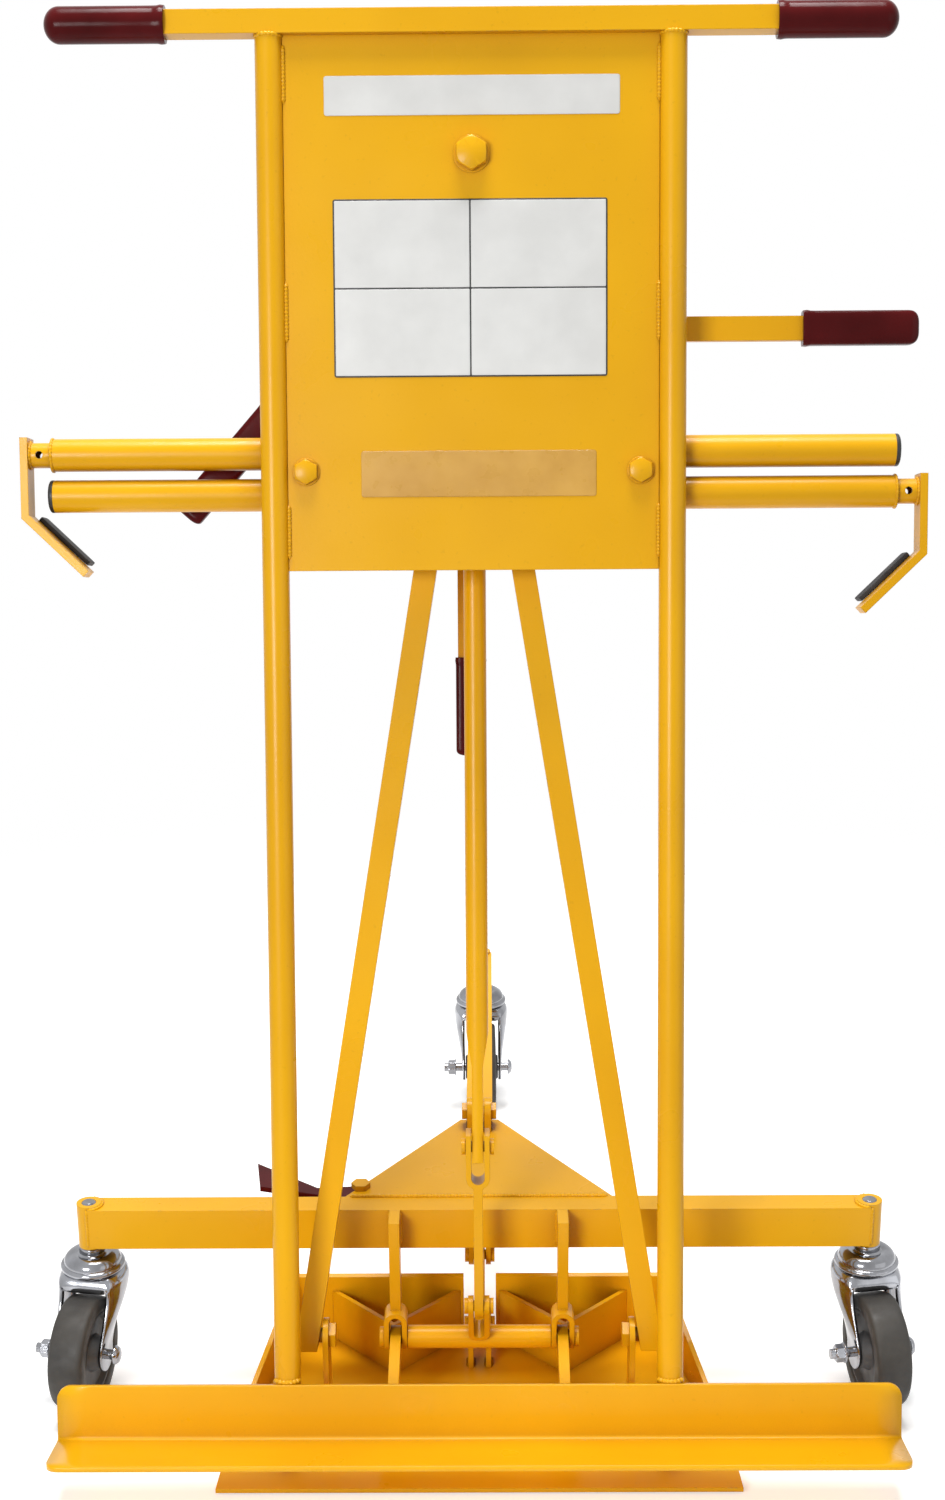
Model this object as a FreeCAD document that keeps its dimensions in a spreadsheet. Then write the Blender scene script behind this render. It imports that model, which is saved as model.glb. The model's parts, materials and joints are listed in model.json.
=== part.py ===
import FreeCAD, Part
import os
import re
import Sketcher
from FreeCAD import Placement, Rotation, Vector

# Door dolly: a three-wheeled stand that lifts, leans and side-tilts a door standing on its shelf.
# +Z is up, the door stands on the -Y side and +X is to the right. Millimetres and degrees.
# The mast and the door frame are drawn upright about the tilt bolts, then leaned back together.

SIZES = {
    # Fits
    "running_fit": 0.05,        # radial play of a pin in its bore
    "face_gap": 0.3,            # play between faces that pass each other
    "weld_gap": 0.1,            # root gap between round pieces that are welded
    # Base
    "cross_y": -213.703,        # cross tube's centre line, from the middle of the whole dolly
    "cross_bottom": 140.65,
    "cross_depth": 25.4,
    "cross_height": 38.1,
    "cross_wall": 3.0,
    "stem_x": 349.0,            # caster stems, to each side
    "sleeve_diameter": 22.2,
    "sleeve_stand": 2.0,        # sleeve beyond the tube, above and below
    "gusset_half": 120.0,
    "gusset_reach": 155.0,      # behind the cross tube
    "gusset_tip_half": 18.0,
    "gusset_plate": 4.8,
    # Casters
    "wheel_diameter": 101.6,
    "wheel_width": 31.75,
    "wheel_shoulder": 7.0,
    "wheel_dish": 4.0,
    "rim_radius": 36.0,
    "hub_radius": 15.0,
    "axle_diameter": 9.5,
    "axle_head": 15.0,
    "axle_head_height": 6.0,
    "caster_trail": 38.0,
    "fork_leg": 4.0,
    "fork_side_gap": 3.0,
    "fork_eye_radius": 15.0,
    "crown_clearance": 10.0,
    "crown_thickness": 5.0,
    "crown_radius": 30.0,
    "raceway_diameter": 58.0,
    "raceway_top_diameter": 36.0,
    "raceway_band": 6.0,
    "raceway_dome": 8.0,
    "stem_collar": 24.0,
    "stem_diameter": 12.7,
    "stem_proud": 1.0,          # stem end above its sleeve
    "kingpin_diameter": 12.7,
    "kingpin_head": 20.0,
    "kingpin_head_height": 4.0,
    "front_swivel": 10.0,
    "rear_swivel": 1.0,
    # Folding leg
    "leg_pivot_back": 154.0,    # behind the cross tube's centre
    "leg_pivot_rise": 16.0,     # above the cross tube's top
    "leg_reach": 605.0,         # rear stem behind the cross tube's centre
    "leg_start": 187.0,
    "lug_plate": 6.35,
    "lug_half": 13.0,
    "tongue_plate": 9.5,
    "pivot_bolt_diameter": 9.5,
    "pivot_bolt_head": 15.0,
    "pivot_bolt_head_height": 5.0,
    # Leg release lever
    "release_x": 107.0,
    "release_back": 30.0,
    "release_plate": 4.8,
    "release_width": 25.0,
    "release_reach": 99.6,      # hand tab's end, to the left of the bolt
    "release_tab_back": 57.6,   # hand tab's rear corner, behind the bolt
    "release_tab_width": 45.6,
    "release_tab_slant": 6.6,
    "release_neck": 40.0,       # narrow place between the bolt and the hand tab
    "release_neck_back": 9.0,
    "release_neck_width": 13.0,
    "release_finger": 132.0,
    "release_finger_width": 16.0,
    "release_finger_angle": 50.6,
    # Lift hangers and crank
    "hanger_x": 74.5,
    "hanger_bar": 9.5,
    "hanger_depth": 25.4,
    "hanger_neck": 93.0,        # height where the bar meets its fork
    "crank_forward": 35.0,      # crank shaft in front of the cross tube's centre
    "crank_z": 64.0,
    "crank_fork_width": 20.5,
    "crank_fork_radius": 11.0,
    "crank_plate": 9.5,
    "crank_side_gap": 1.0,
    "crank_length": 90.0,       # shaft to carriage pin
    "crank_drop": 22.225,       # carriage pin below the shaft when the door is down
    "crank_eye_radius": 10.0,
    "crank_shaft_diameter": 12.7,
    "shaft_head": 18.0,
    "shaft_head_height": 4.0,
    "torque_tube_diameter": 20.6,
    "lever_forward": 25.0,      # link pin in front of the shaft
    "lever_rise": 46.0,         # link pin above the shaft
    "lever_plate": 4.8,
    "lever_eye_radius": 9.0,
    # Lift carriage, the low pan that carries the mast
    "pan_front": 180.0,         # in front of the cross tube's centre
    "pan_front_half": 222.0,
    "pan_waist": 110.0,
    "pan_waist_half": 218.0,
    "pan_rear": 60.0,           # behind the cross tube's centre
    "pan_rear_half": 174.0,
    "pan_bottom": 3.0,
    "pan_plate": 4.0,
    "pan_rear_height": 70.0,
    "pan_notch": 30.0,          # gap in the rear wall for the rear link
    "rib_outer": 138.0,
    "rib_inner": 18.0,
    "rib_front": 6.0,
    "rib_width": 6.0,
    "rib_height": 50.0,
    "ear_plate": 4.8,
    "ear_radius": 9.5,
    "carriage_pin_diameter": 9.5,
    "rear_pivot_back": 100.0,
    "rear_pivot_z": 70.0,
    # Lift link and lift rod
    "rod_pin_forward": 44.0,    # pin between link and rod, in front of the cross tube's centre
    "rod_pin_z": 257.0,
    "link_bar": 8.0,
    "link_depth": 20.0,
    "link_fork_width": 20.5,
    "link_fork_bottom": 36.0,   # below the pin
    "link_fork_top": 13.0,
    "link_pin_diameter": 9.5,
    "link_pin_head": 14.0,
    "link_pin_head_height": 3.5,
    "rod_diameter": 19.05,
    "rod_tab": 9.5,
    "rod_tab_end": 13.0,
    "rod_tab_length": 70.0,
    "rod_taper": 30.0,
    "rod_eye_plate": 8.0,
    "rod_eye_wall": 6.0,
    "rod_eye_play": 3.65,       # round the lever's pin, whose path in the eye is an oval
    "rod_eye_side": 2.2,        # middle of that path from the pin's place at rest
    "rod_eye_rise": 2.2,
    "rod_eye_stroke": 6.4,
    # Mast: two legs, a head plate and a guide plate, about the tilt bolts
    "lean_angle": 13.0,
    "tilt_forward": 84.0,
    "tilt_z": 96.0,
    "tilt_x": 148.0,
    "tilt_bolt_diameter": 12.7,
    "tilt_bolt_head": 20.0,
    "tilt_bolt_head_height": 6.0,
    "bracket_plate": 4.8,
    "bracket_gap": 26.0,
    "bracket_radius": 15.0,
    "mast_bar": 19.05,
    "mast_foot": 12.0,
    "mast_height": 790.0,
    "mast_top_x": 20.0,
    "head_half": 75.0,
    "head_rise": 225.0,         # head plate above the mast legs
    "head_plate": 9.5,
    "boss_diameter": 32.0,
    "top_bolt_inset": 25.0,     # below the head plate's top
    "top_bolt_diameter": 15.9,
    "top_bolt_head": 24.0,
    "top_bolt_head_height": 10.0,
    "guide_drop": 51.5,         # guide plate below the head plate
    "guide_half": 160.0,
    "guide_height": 40.0,
    "guide_plate": 4.8,
    "guide_slot": 34.0,
    "guide_slot_height": 8.5,
    "guide_bolt_x": 136.0,
    "guide_bolt_diameter": 6.35,
    "guide_bolt_head": 18.0,
    "guide_bolt_head_height": 6.0,
    # Hand levers
    "grip_skin": 2.0,
    "lift_pivot_x": 46.0,
    "lift_pivot_rise": 140.0,   # above the mast legs
    "lift_bar": 22.0,
    "lift_plate": 8.0,
    "lift_length": 296.0,
    "lift_angle": 48.7,         # lever below level when the door is down
    "lift_grip": 118.0,
    "lift_hub_radius": 20.0,
    "lift_crank": 46.0,
    "lift_crank_angle": 25.3,
    "lift_crank_radius": 13.0,
    "lever_pin_diameter": 12.0,
    "lever_pin_head": 19.0,
    "lever_pin_head_height": 5.0,
    "rod_top_back": 35.0,       # lift rod's eye behind the mast's plane
    "side_pivot_x": 40.0,
    "side_pivot_rise": 66.0,    # above the mast legs
    "side_bar": 20.0,
    "side_plate": 8.0,
    "side_end": 366.0,
    "side_grip": 94.0,
    "side_drop": 27.0,
    "side_stud_diameter": 8.0,
    "side_stud_play": 2.0,
    "side_hub_radius": 16.0,
    "tilt_pivot_drop": 48.5,    # below the guide plate
    "tilt_pivot_back": 62.5,
    "tilt_cam_radius": 18.0,
    "tilt_cam_offset": 12.7,
    "tilt_cam_angle": 50.0,
    "tilt_cam_width": 30.0,
    "tilt_bar": 22.2,
    "tilt_bar_x": 4.0,          # handle to the left of the middle
    "tilt_plate": 6.35,
    "tilt_length": 188.0,
    "tilt_grip": 84.0,
    "tilt_ear_x": 30.0,
    "tilt_ear_radius": 13.0,
    "tilt_pin_diameter": 9.5,
    # Door frame
    "frame_forward": 48.0,      # uprights in front of the mast's plane
    "upright_x": 162.0,
    "upright_diameter": 22.2,
    "upright_wall": 2.0,
    "upright_foot": 10.0,       # above the shelf's underside
    "shelf_z": -73.4,
    "shelf_length": 711.0,
    "shelf_leg": 50.8,
    "shelf_plate": 4.8,
    "shelf_corner": 14.0,
    "bar_rise": 93.6,           # handlebar above the top bolt
    "bar_length": 663.0,
    "bar_side": 19.05,
    "bar_wall": 2.0,
    "bar_grip": 97.0,
    "bar_grip_diameter": 29.0,
    "bar_grip_cap": 10.0,
    "plate_drop": 79.9,         # plate's lower edge below the guide bolts
    "plate_thickness": 4.8,
    # Door hooks
    "hook_tube_length": 693.0,
    "hook_tube_diameter": 26.7,
    "hook_spread": 33.6,        # between the two tubes
    "hook_rod_diameter": 20.6,
    "hook_rod_wall": 2.0,
    "hook_rod_length": 380.0,
    "hook_end_gap": 19.5,       # rod's end beyond its tube
    "hook_hole_diameter": 6.0,
    "hook_hole_inset": 9.0,
    "hook_arm_plate": 6.35,
    "hook_arm_width": 25.4,
    "hook_arm_top": 14.0,
    "hook_arm_drop": 52.0,
    "hook_arm_run": 50.0,
    "hook_arm_fall": 48.0,
    "hook_pad_plate": 4.0,
    "hook_pad_inset": 4.0,
    "collar_length": 12.0,
    "cap_flange": 2.5,
    "cap_plug": 14.0,
    "spring_diameter": 15.0,
    "spring_wire": 2.0,
}

# Sizes that follow from the ones above, each written once.
DERIVED = {
    "cross_top": "cross_bottom + cross_height",
    "cross_front": "cross_y - cross_depth / 2",
    "cross_back": "cross_y + cross_depth / 2",
    "sleeve_bottom": "cross_bottom - sleeve_stand",
    "sleeve_height": "cross_height + 2 * sleeve_stand",
    "rear_y": "cross_y + leg_reach",
    "axle_z": "wheel_diameter / 2",
    "crown_bottom": "wheel_diameter + crown_clearance",
    "crown_top": "crown_bottom + crown_thickness",
    "raceway_bottom": "crown_top + face_gap",
    "fork_inside": "wheel_width + 2 * fork_side_gap",
    "fork_width": "fork_inside + 2 * fork_leg",
    "leg_pivot_y": "cross_y + leg_pivot_back",
    "leg_pivot_z": "cross_top + leg_pivot_rise",
    "lug_inside": "tongue_plate + 2 * face_gap",
    "release_y": "cross_y + release_back",
    "release_bottom": "cross_top - gusset_plate - face_gap - release_plate",
    "crank_y": "cross_y - crank_forward",
    "crank_slot": "crank_plate + 2 * crank_side_gap",
    "crank_run": "sqrt(crank_length ^ 2 - crank_drop ^ 2)",
    "crank_fall_angle": "asin(crank_drop / crank_length)",
    "shaft_half": "hanger_x + crank_fork_width / 2 + face_gap",
    "carriage_pin_y": "crank_y - crank_run",
    "carriage_pin_z": "crank_z - crank_drop",
    "lever_pin_y": "crank_y - lever_forward",
    "lever_pin_z": "crank_z + lever_rise",
    "lever_length": "sqrt(lever_forward ^ 2 + lever_rise ^ 2)",
    "lever_lean": "atan(lever_forward / lever_rise)",
    "lever_inside": "link_bar + 4 * face_gap",
    "pan_top": "pan_bottom + pan_plate",
    "rear_pivot_y": "cross_y + rear_pivot_back",
    "rear_pin_y": "rear_pivot_y - crank_run",
    "rear_pin_z": "rear_pivot_z - crank_drop",
    "rear_inside": "crank_plate + 2 * crank_side_gap",
    "rod_pin_y": "cross_y - rod_pin_forward",
    "link_run": "rod_pin_y - lever_pin_y",
    "link_rise": "rod_pin_z - lever_pin_z",
    "link_length": "sqrt(link_run ^ 2 + link_rise ^ 2)",
    "link_lean": "atan(link_run / link_rise)",
    "link_slot": "rod_tab + 2 * crank_side_gap",
    "tilt_y": "cross_y - tilt_forward",
    "head_top": "mast_height + head_rise",
    "top_bolt_z": "head_top - top_bolt_inset",
    "guide_z": "mast_height - guide_drop",
    "lift_pivot_z": "mast_height + lift_pivot_rise",
    "side_pivot_z": "mast_height + side_pivot_rise",
    "tilt_pivot_z": "guide_z - tilt_pivot_drop",
    "bar_z": "top_bolt_z + bar_rise",
    "plate_bottom": "guide_z - plate_drop",
    # The rod's pin and eye, seen from the tilt bolts with the mast upright
    "pin_back": "(rod_pin_y - tilt_y) * cos(lean_angle) - (rod_pin_z - tilt_z) * sin(lean_angle)",
    "pin_up": "(rod_pin_y - tilt_y) * sin(lean_angle) + (rod_pin_z - tilt_z) * cos(lean_angle)",
    "eye_up": "lift_pivot_z + lift_crank * sin(lift_crank_angle)",
    "eye_x": "lift_crank * cos(lift_crank_angle) - lift_pivot_x",
    "rod_eye_radius": "link_pin_diameter / 2 + rod_eye_play + rod_eye_wall",
    "rod_run": "rod_top_back - pin_back",
    "rod_rise": "eye_up - pin_up",
    "rod_length": "sqrt(rod_run ^ 2 + rod_rise ^ 2)",
    "rod_lean": "lean_angle * 1 deg + atan(rod_run / rod_rise)",
    "head_front": "-head_plate / 2",
    "head_back": "head_plate / 2",
    "mast_slope": "(tilt_x - mast_top_x) / mast_height",
    "mast_half": "mast_bar / 2 * sqrt(1 + mast_slope ^ 2)",
    "frame_y": "-frame_forward",
    "frame_back": "frame_y + upright_diameter / 2",
    "plate_front": "frame_y - plate_thickness / 2",
    "plate_back": "frame_y + plate_thickness / 2",
    "shelf_back": "frame_y - upright_diameter / 2",
    "plate_half": "upright_x - upright_diameter / 2",
    "boss_front": "plate_back + face_gap",
    "hook_upper_z": "guide_z + hook_spread / 2",
    "hook_lower_z": "guide_z - hook_spread / 2",
    "hook_end_x": "hook_tube_length / 2 + hook_end_gap",
    "hook_y": "frame_back + weld_gap + hook_tube_diameter / 2",
    "hook_bore": "hook_rod_diameter + 2 * running_fit",
    "guide_back": "mast_bar / 2 + guide_plate",
    "lift_front": "head_back + face_gap",
    "lift_back": "lift_front + lift_plate",
    "side_back": "head_front - face_gap",
    "side_front": "side_back - side_plate",
}

NODES = []
TURN = {"x": Rotation(Vector(0, 1, 0), 90), "y": Rotation(Vector(1, 0, 0), -90), "z": Rotation()}

doc = FreeCAD.newDocument("door_dolly")
sheet = doc.addObject("Spreadsheet::Sheet", "sizes")
for row, (alias, value) in enumerate(SIZES.items(), start=1):
    sheet.set(f"A{row}", alias)
    sheet.set(f"B{row}", str(value))
    sheet.setAlias(f"B{row}", alias)
doc.recompute()


# Helpers: every size and place is a text formula over the sheet's names.
def linked(formula):
    """Rewrite a formula's names as cells of the sheet, opening up the derived ones."""
    def cell(match):
        name = match.group()
        if name in DERIVED:
            return "(" + linked(DERIVED[name]) + ")"
        return "sizes." + name if name in SIZES else name
    return re.sub(r"[a-z_]+", cell, str(formula))


def bind(thing, **formulas):
    for prop, formula in formulas.items():
        thing.setExpression(prop.replace("__", "."), linked(formula))
    return thing


def move(thing, x=0, y=0, z=0):
    """Place an object by formulas, keeping the way it is turned."""
    return bind(thing, Placement__Base__x=x, Placement__Base__y=y, Placement__Base__z=z)


def turn(thing, axis, angle):
    """Turn an object about an axis through its own origin by a formula."""
    thing.Placement = Placement(Vector(), Rotation(Vector(*axis), 1))
    return bind(thing, Placement__Rotation__Angle=angle)


def block(x, y, z):
    """Box between two formulas along each axis."""
    box = doc.addObject("Part::Box", "block")
    for prop, (low, high) in zip(("Length", "Width", "Height"), (x, y, z)):
        bind(box, **{prop: f"({high}) - ({low})"})
    return move(box, x[0], y[0], z[0])


def bar(axis, diameter, low, high, x=0, y=0, z=0):
    """Round bar along an axis, from low to high on that axis."""
    cylinder = doc.addObject("Part::Cylinder", "bar")
    bind(cylinder, Radius=f"({diameter}) / 2", Height=f"({high}) - ({low})")
    cylinder.Placement = Placement(Vector(), TURN[axis])
    start = {"x": x, "y": y, "z": z}
    start[axis] = low
    return move(cylinder, **start)


def hexagon(axis, flats, low, high, x=0, y=0, z=0):
    """Hexagonal bolt head or nut, given across its flats."""
    prism = doc.addObject("Part::Prism", "hexagon")
    prism.Polygon = 6
    bind(prism, Circumradius=f"({flats}) / sqrt(3)", Height=f"({high}) - ({low})")
    prism.Placement = Placement(Vector(), TURN[axis])
    start = {"x": x, "y": y, "z": z}
    start[axis] = low
    return move(prism, **start)


def fuse(*things):
    union = doc.addObject("Part::MultiFuse", "union")
    union.Shapes = list(things)
    union.Refine = True
    return union


def cut(base, *tools):
    result = doc.addObject("Part::Cut", "cut")
    result.Base = base
    result.Tool = tools[0] if len(tools) == 1 else fuse(*tools)
    return result


def common(*things):
    overlap = doc.addObject("Part::MultiCommon", "overlap")
    overlap.Shapes = list(things)
    return overlap


def group(*things):
    """Identical fasteners or paired plates kept as separate solids of one sub-part."""
    cluster = doc.addObject("Part::Compound", "cluster")
    cluster.Links = list(things)
    return cluster


def sketch_on(body, plane, points):
    """Closed outline of straight lines through points given as formulas."""
    sketch = body.newObject("Sketcher::SketchObject", "outline")
    face = [f for f in body.Origin.OriginFeatures if f.Role == plane][0]
    sketch.AttachmentSupport = [(face, "")]
    sketch.MapMode = "FlatFace"
    count = len(points)
    rough = [Vector(i, i * i, 0) for i in range(count)]
    for i in range(count):
        sketch.addGeometry(Part.LineSegment(rough[i], rough[(i + 1) % count]), False)
    for i in range(count):
        sketch.addConstraint(Sketcher.Constraint("Coincident", i, 2, (i + 1) % count, 1))
    for i, (across, up) in enumerate(points):
        for kind, start, formula in (("DistanceX", rough[i].x, across), ("DistanceY", rough[i].y, up)):
            number = sketch.addConstraint(Sketcher.Constraint(kind, -1, 1, i, 1, start))
            sketch.setExpression(f"Constraints[{number}]", linked(formula))
    return sketch


def slab(plane, points, thickness, offset=0):
    """Plate of a drawn outline, centred on its plane; the offset moves it along the plane's normal."""
    body = doc.addObject("PartDesign::Body", "slab")
    pad = body.newObject("PartDesign::Pad", "pad")
    pad.Profile = sketch_on(body, plane, points)
    pad.Midplane = True
    bind(pad, Length=thickness)
    normal = {"XY_Plane": "z", "XZ_Plane": "y", "YZ_Plane": "x"}[plane]
    return move(body, **{normal: offset})


def spun(points):
    """Ring turned about the Z axis from a half section of (radius, height) points."""
    body = doc.addObject("PartDesign::Body", "spun")
    sketch = sketch_on(body, "XZ_Plane", points)
    ring = body.newObject("PartDesign::Revolution", "revolution")
    ring.Profile = sketch
    ring.ReferenceAxis = (sketch, ["V_Axis"])
    ring.Angle = 360
    return body


def node(label, thing):
    """Name a finished sub-part."""
    thing.Label = label
    NODES.append(thing)
    return thing


def on_mast(label, thing):
    """Name a sub-part drawn about the tilt bolts and lean it back with the mast."""
    turn(thing, (-1, 0, 0), "lean_angle")
    move(thing, 0, "tilt_y", "tilt_z")
    return node(label, thing)


def headed_pin(axis, diameter, head, head_height, low, high, x=0, y=0, z=0):
    """Pin with a round head at each end, outside low and high."""
    ends = [(f"({low}) - {head_height}", low), (high, f"({high}) + {head_height}")]
    heads = [bar(axis, head, start, end, x, y, z) for start, end in ends]
    return fuse(bar(axis, diameter, low, high, x, y, z), *heads)


def hex_bolt(axis, diameter, head, head_height, low, high, x=0, y=0, z=0):
    """Bolt with a hexagonal head before low and a nut past high."""
    hexes = [hexagon(axis, head, f"({low}) - {head_height}", low, x, y, z),
             hexagon(axis, head, high, f"({high}) + {head_height}", x, y, z)]
    return fuse(bar(axis, diameter, low, high, x, y, z), *hexes)


def signed(sign, formula):
    return f"{sign} * ({formula})"


def span(sign, near, far):
    """The two formulas of a stretch from near to far on one side, low end first."""
    ends = [signed(sign, near), signed(sign, far)]
    return ends if sign > 0 else ends[::-1]


# Base: cross tube, stem sleeves, gusset, leg lugs and the hangers of the lift crank.
def make_base():
    tube = block(("-stem_x", "stem_x"), ("cross_front", "cross_back"), ("cross_bottom", "cross_top"))
    hollow = block(("-stem_x", "stem_x"), ("cross_front + cross_wall", "cross_back - cross_wall"),
                   ("cross_bottom + cross_wall", "cross_top - cross_wall"))
    copes = [bar("z", "sleeve_diameter", "sleeve_bottom", "sleeve_bottom + sleeve_height", x, "cross_y")
             for x in ("-stem_x", "stem_x")]
    node("cross_tube", cut(tube, hollow, *copes))
    node("stem_sleeves", group(*[sleeve(x, "cross_y") for x in ("-stem_x", "stem_x")]))

    tip = "cross_back + gusset_reach"
    outline = [("-gusset_half", "cross_back"), ("gusset_half", "cross_back"),
               ("gusset_tip_half", tip), ("-gusset_tip_half", tip)]
    plate = slab("XY_Plane", outline, "gusset_plate", "cross_top - gusset_plate / 2")
    bore = "pivot_bolt_diameter + 2 * running_fit"
    hole = bar("z", bore, "cross_bottom", "leg_pivot_z", "-release_x", "release_y")
    node("gusset_plate", cut(plate, hole))
    node("leg_lugs", group(*[leg_lug(sign) for sign in (-1, 1)]))
    node("crank_hangers", group(*[hanger(sign) for sign in (-1, 1)]))
    node("rear_link_hanger", group(*[rear_hanger(sign) for sign in (-1, 1)]))
    node("base_pins", group(leg_bolt(), release_bolt(), rear_pin("rear_pivot_y", "rear_pivot_z")))
    node("front_caster_stems", group(*[stem(x, "cross_y") for x in ("-stem_x", "stem_x")]))


def sleeve(x, y):
    top = "sleeve_bottom + sleeve_height"
    outer = bar("z", "sleeve_diameter", "sleeve_bottom", top, x, y)
    return cut(outer, bar("z", "stem_diameter + 2 * running_fit", "sleeve_bottom", top, x, y))


def leg_lug(sign):
    """One of the two plates that hold the folding leg's bolt."""
    x = span(sign, "lug_inside / 2", "lug_inside / 2 + lug_plate")
    y = ("leg_pivot_y - lug_half", "leg_pivot_y + lug_half")
    foot = block(x, y, ("cross_top", "leg_pivot_z"))
    crown = bar("x", "2 * lug_half", x[0], x[1], 0, "leg_pivot_y", "leg_pivot_z")
    hole = bar("x", "pivot_bolt_diameter + 2 * running_fit", x[0], x[1], 0, "leg_pivot_y", "leg_pivot_z")
    return cut(fuse(foot, crown), hole)


def leg_bolt():
    half = "lug_inside / 2 + lug_plate"
    return hex_bolt("x", "pivot_bolt_diameter", "pivot_bolt_head", "pivot_bolt_head_height",
                    f"-({half})", half, 0, "leg_pivot_y", "leg_pivot_z")


def release_bolt():
    return hex_bolt("z", "pivot_bolt_diameter", "pivot_bolt_head", "pivot_bolt_head_height",
                    "release_bottom - face_gap", "cross_top",
                    "-release_x", "release_y")


def hanger(sign):
    """Bar welded to the cross tube's front with a fork for the crank shaft."""
    middle = signed(sign, "hanger_x")
    side = (f"{middle} - hanger_bar / 2", f"{middle} + hanger_bar / 2")
    strap = block(side, ("cross_front - hanger_depth", "cross_front"),
                  ("hanger_neck - crank_side_gap", "cross_top"))
    cheeks = (f"{middle} - crank_fork_width / 2", f"{middle} + crank_fork_width / 2")
    depth = ("crank_y - crank_fork_radius", "crank_y + crank_fork_radius")
    bend = "hanger_neck - crank_fork_width / 2"
    fork = fuse(block(cheeks, depth, ("crank_z", bend)),
                bar("y", "crank_fork_width", *depth, middle, 0, bend))
    end = bar("x", "2 * crank_fork_radius", *cheeks, 0, "crank_y", "crank_z")
    slot = fuse(block((f"{middle} - crank_slot / 2", f"{middle} + crank_slot / 2"), depth,
                      ("crank_z - crank_fork_radius", bend)),
                bar("y", "crank_slot", *depth, middle, 0, bend))
    bore = bar("x", "crank_shaft_diameter + 2 * running_fit", *cheeks, 0, "crank_y", "crank_z")
    return cut(fuse(strap, fork, end), slot, bore)


def rear_hanger(sign):
    """One of the two plates under the gusset that hold the rear link."""
    x = span(sign, "rear_inside / 2", "rear_inside / 2 + ear_plate")
    y = ("rear_pivot_y - ear_radius", "rear_pivot_y + ear_radius")
    plate = block(x, y, ("rear_pivot_z", "cross_top - gusset_plate"))
    end = bar("x", "2 * ear_radius", *x, 0, "rear_pivot_y", "rear_pivot_z")
    hole = bar("x", "carriage_pin_diameter + 2 * running_fit", *x, 0, "rear_pivot_y", "rear_pivot_z")
    return cut(fuse(plate, end), hole)


def rear_pin(y, z):
    half = "rear_inside / 2 + ear_plate"
    return headed_pin("x", "carriage_pin_diameter", "link_pin_head", "link_pin_head_height",
                      f"-({half})", half, 0, y, z)


# Casters: a stem with its raceway, a swivelling fork, an axle and a wheel.
def stem(x, y):
    rim = "raceway_bottom + raceway_band"
    across = "(raceway_diameter - raceway_top_diameter) / 2"
    dome = [(f"raceway_top_diameter / 2 + {across} * cos({angle})", f"{rim} + raceway_dome * sin({angle})")
            for angle in (30, 60, 90)]
    top = "sleeve_bottom + sleeve_height + stem_proud"
    raceway = spun([("0", "raceway_bottom"), ("raceway_diameter / 2", "raceway_bottom"),
                    ("raceway_diameter / 2", rim), *dome, ("stem_collar / 2", f"{rim} + raceway_dome"),
                    ("stem_collar / 2", "sleeve_bottom"), ("stem_diameter / 2", "sleeve_bottom"),
                    ("stem_diameter / 2", top), ("0", top)])
    move(raceway, x, y)
    seat = "crown_bottom - face_gap"
    kingpin = bar("z", "kingpin_diameter", seat, "raceway_bottom", x, y)
    head = bar("z", "kingpin_head", f"{seat} - kingpin_head_height", seat, x, y)
    return fuse(raceway, kingpin, head)


def caster_fork():
    """Two legs under a round crown, with the axle behind the swivel."""
    edge = "crown_radius * cos(45)"
    outline = [("-crown_radius", "crown_top"), ("-crown_radius", "crown_bottom"),
               ("-caster_trail - fork_eye_radius", "axle_z"), ("-caster_trail + fork_eye_radius", "axle_z"),
               (edge, "crown_bottom"), (edge, "crown_top")]
    legs = slab("YZ_Plane", outline, "fork_width")
    half = "fork_width / 2"
    eyes = bar("x", "2 * fork_eye_radius", f"-{half}", half, 0, "-caster_trail", "axle_z")
    gap = block(("-fork_inside / 2", "fork_inside / 2"),
                ("-caster_trail - wheel_diameter", "wheel_diameter"), ("0", "crown_bottom"))
    crown = bar("z", "2 * crown_radius", "crown_bottom", "crown_top")
    bore = bar("z", "kingpin_diameter + 2 * running_fit", "crown_bottom", "crown_top")
    axle_bore = bar("x", "axle_diameter + 2 * running_fit", f"-{half}", half, 0, "-caster_trail", "axle_z")
    return cut(fuse(cut(fuse(legs, eyes), gap), crown), bore, axle_bore)


def caster_axle():
    half = "fork_width / 2"
    return hex_bolt("x", "axle_diameter", "axle_head", "axle_head_height", f"-{half}", half,
                    0, "-caster_trail", "axle_z")


def caster_wheel():
    """Wheel with rounded shoulders and a dished face on each side."""
    radius = "wheel_diameter / 2"
    half = "wheel_width / 2"
    shoulder = "wheel_shoulder"
    upper = [(radius, f"{half} - {shoulder}"),
             (f"{radius} - {shoulder} * (1 - cos(45))", f"{half} - {shoulder} * (1 - sin(45))"),
             (f"{radius} - {shoulder}", half), ("rim_radius", half),
             ("rim_radius - wheel_dish", f"{half} - wheel_dish"),
             ("hub_radius + wheel_dish", f"{half} - wheel_dish"),
             ("hub_radius", f"{half} + fork_side_gap - face_gap"),
             ("0", f"{half} + fork_side_gap - face_gap")]
    lower = [(across, f"-({up})") for across, up in reversed(upper)]
    tyre = spun(lower + upper)
    tyre.Placement = Placement(Vector(), TURN["x"])
    move(tyre, 0, "-caster_trail", "axle_z")
    return cut(tyre, bar("x", "axle_diameter + 2 * running_fit", "-wheel_width", "wheel_width",
                         0, "-caster_trail", "axle_z"))


def make_caster(side, x, y, way, angle):
    """Swivelling pieces of one caster, turned about its stem."""
    for name, piece in (("fork", caster_fork()), ("axle", caster_axle()), ("wheel", caster_wheel())):
        turn(piece, (0, 0, way), angle)
        node(f"{side}_caster_{name}", move(piece, x, y))


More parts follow.
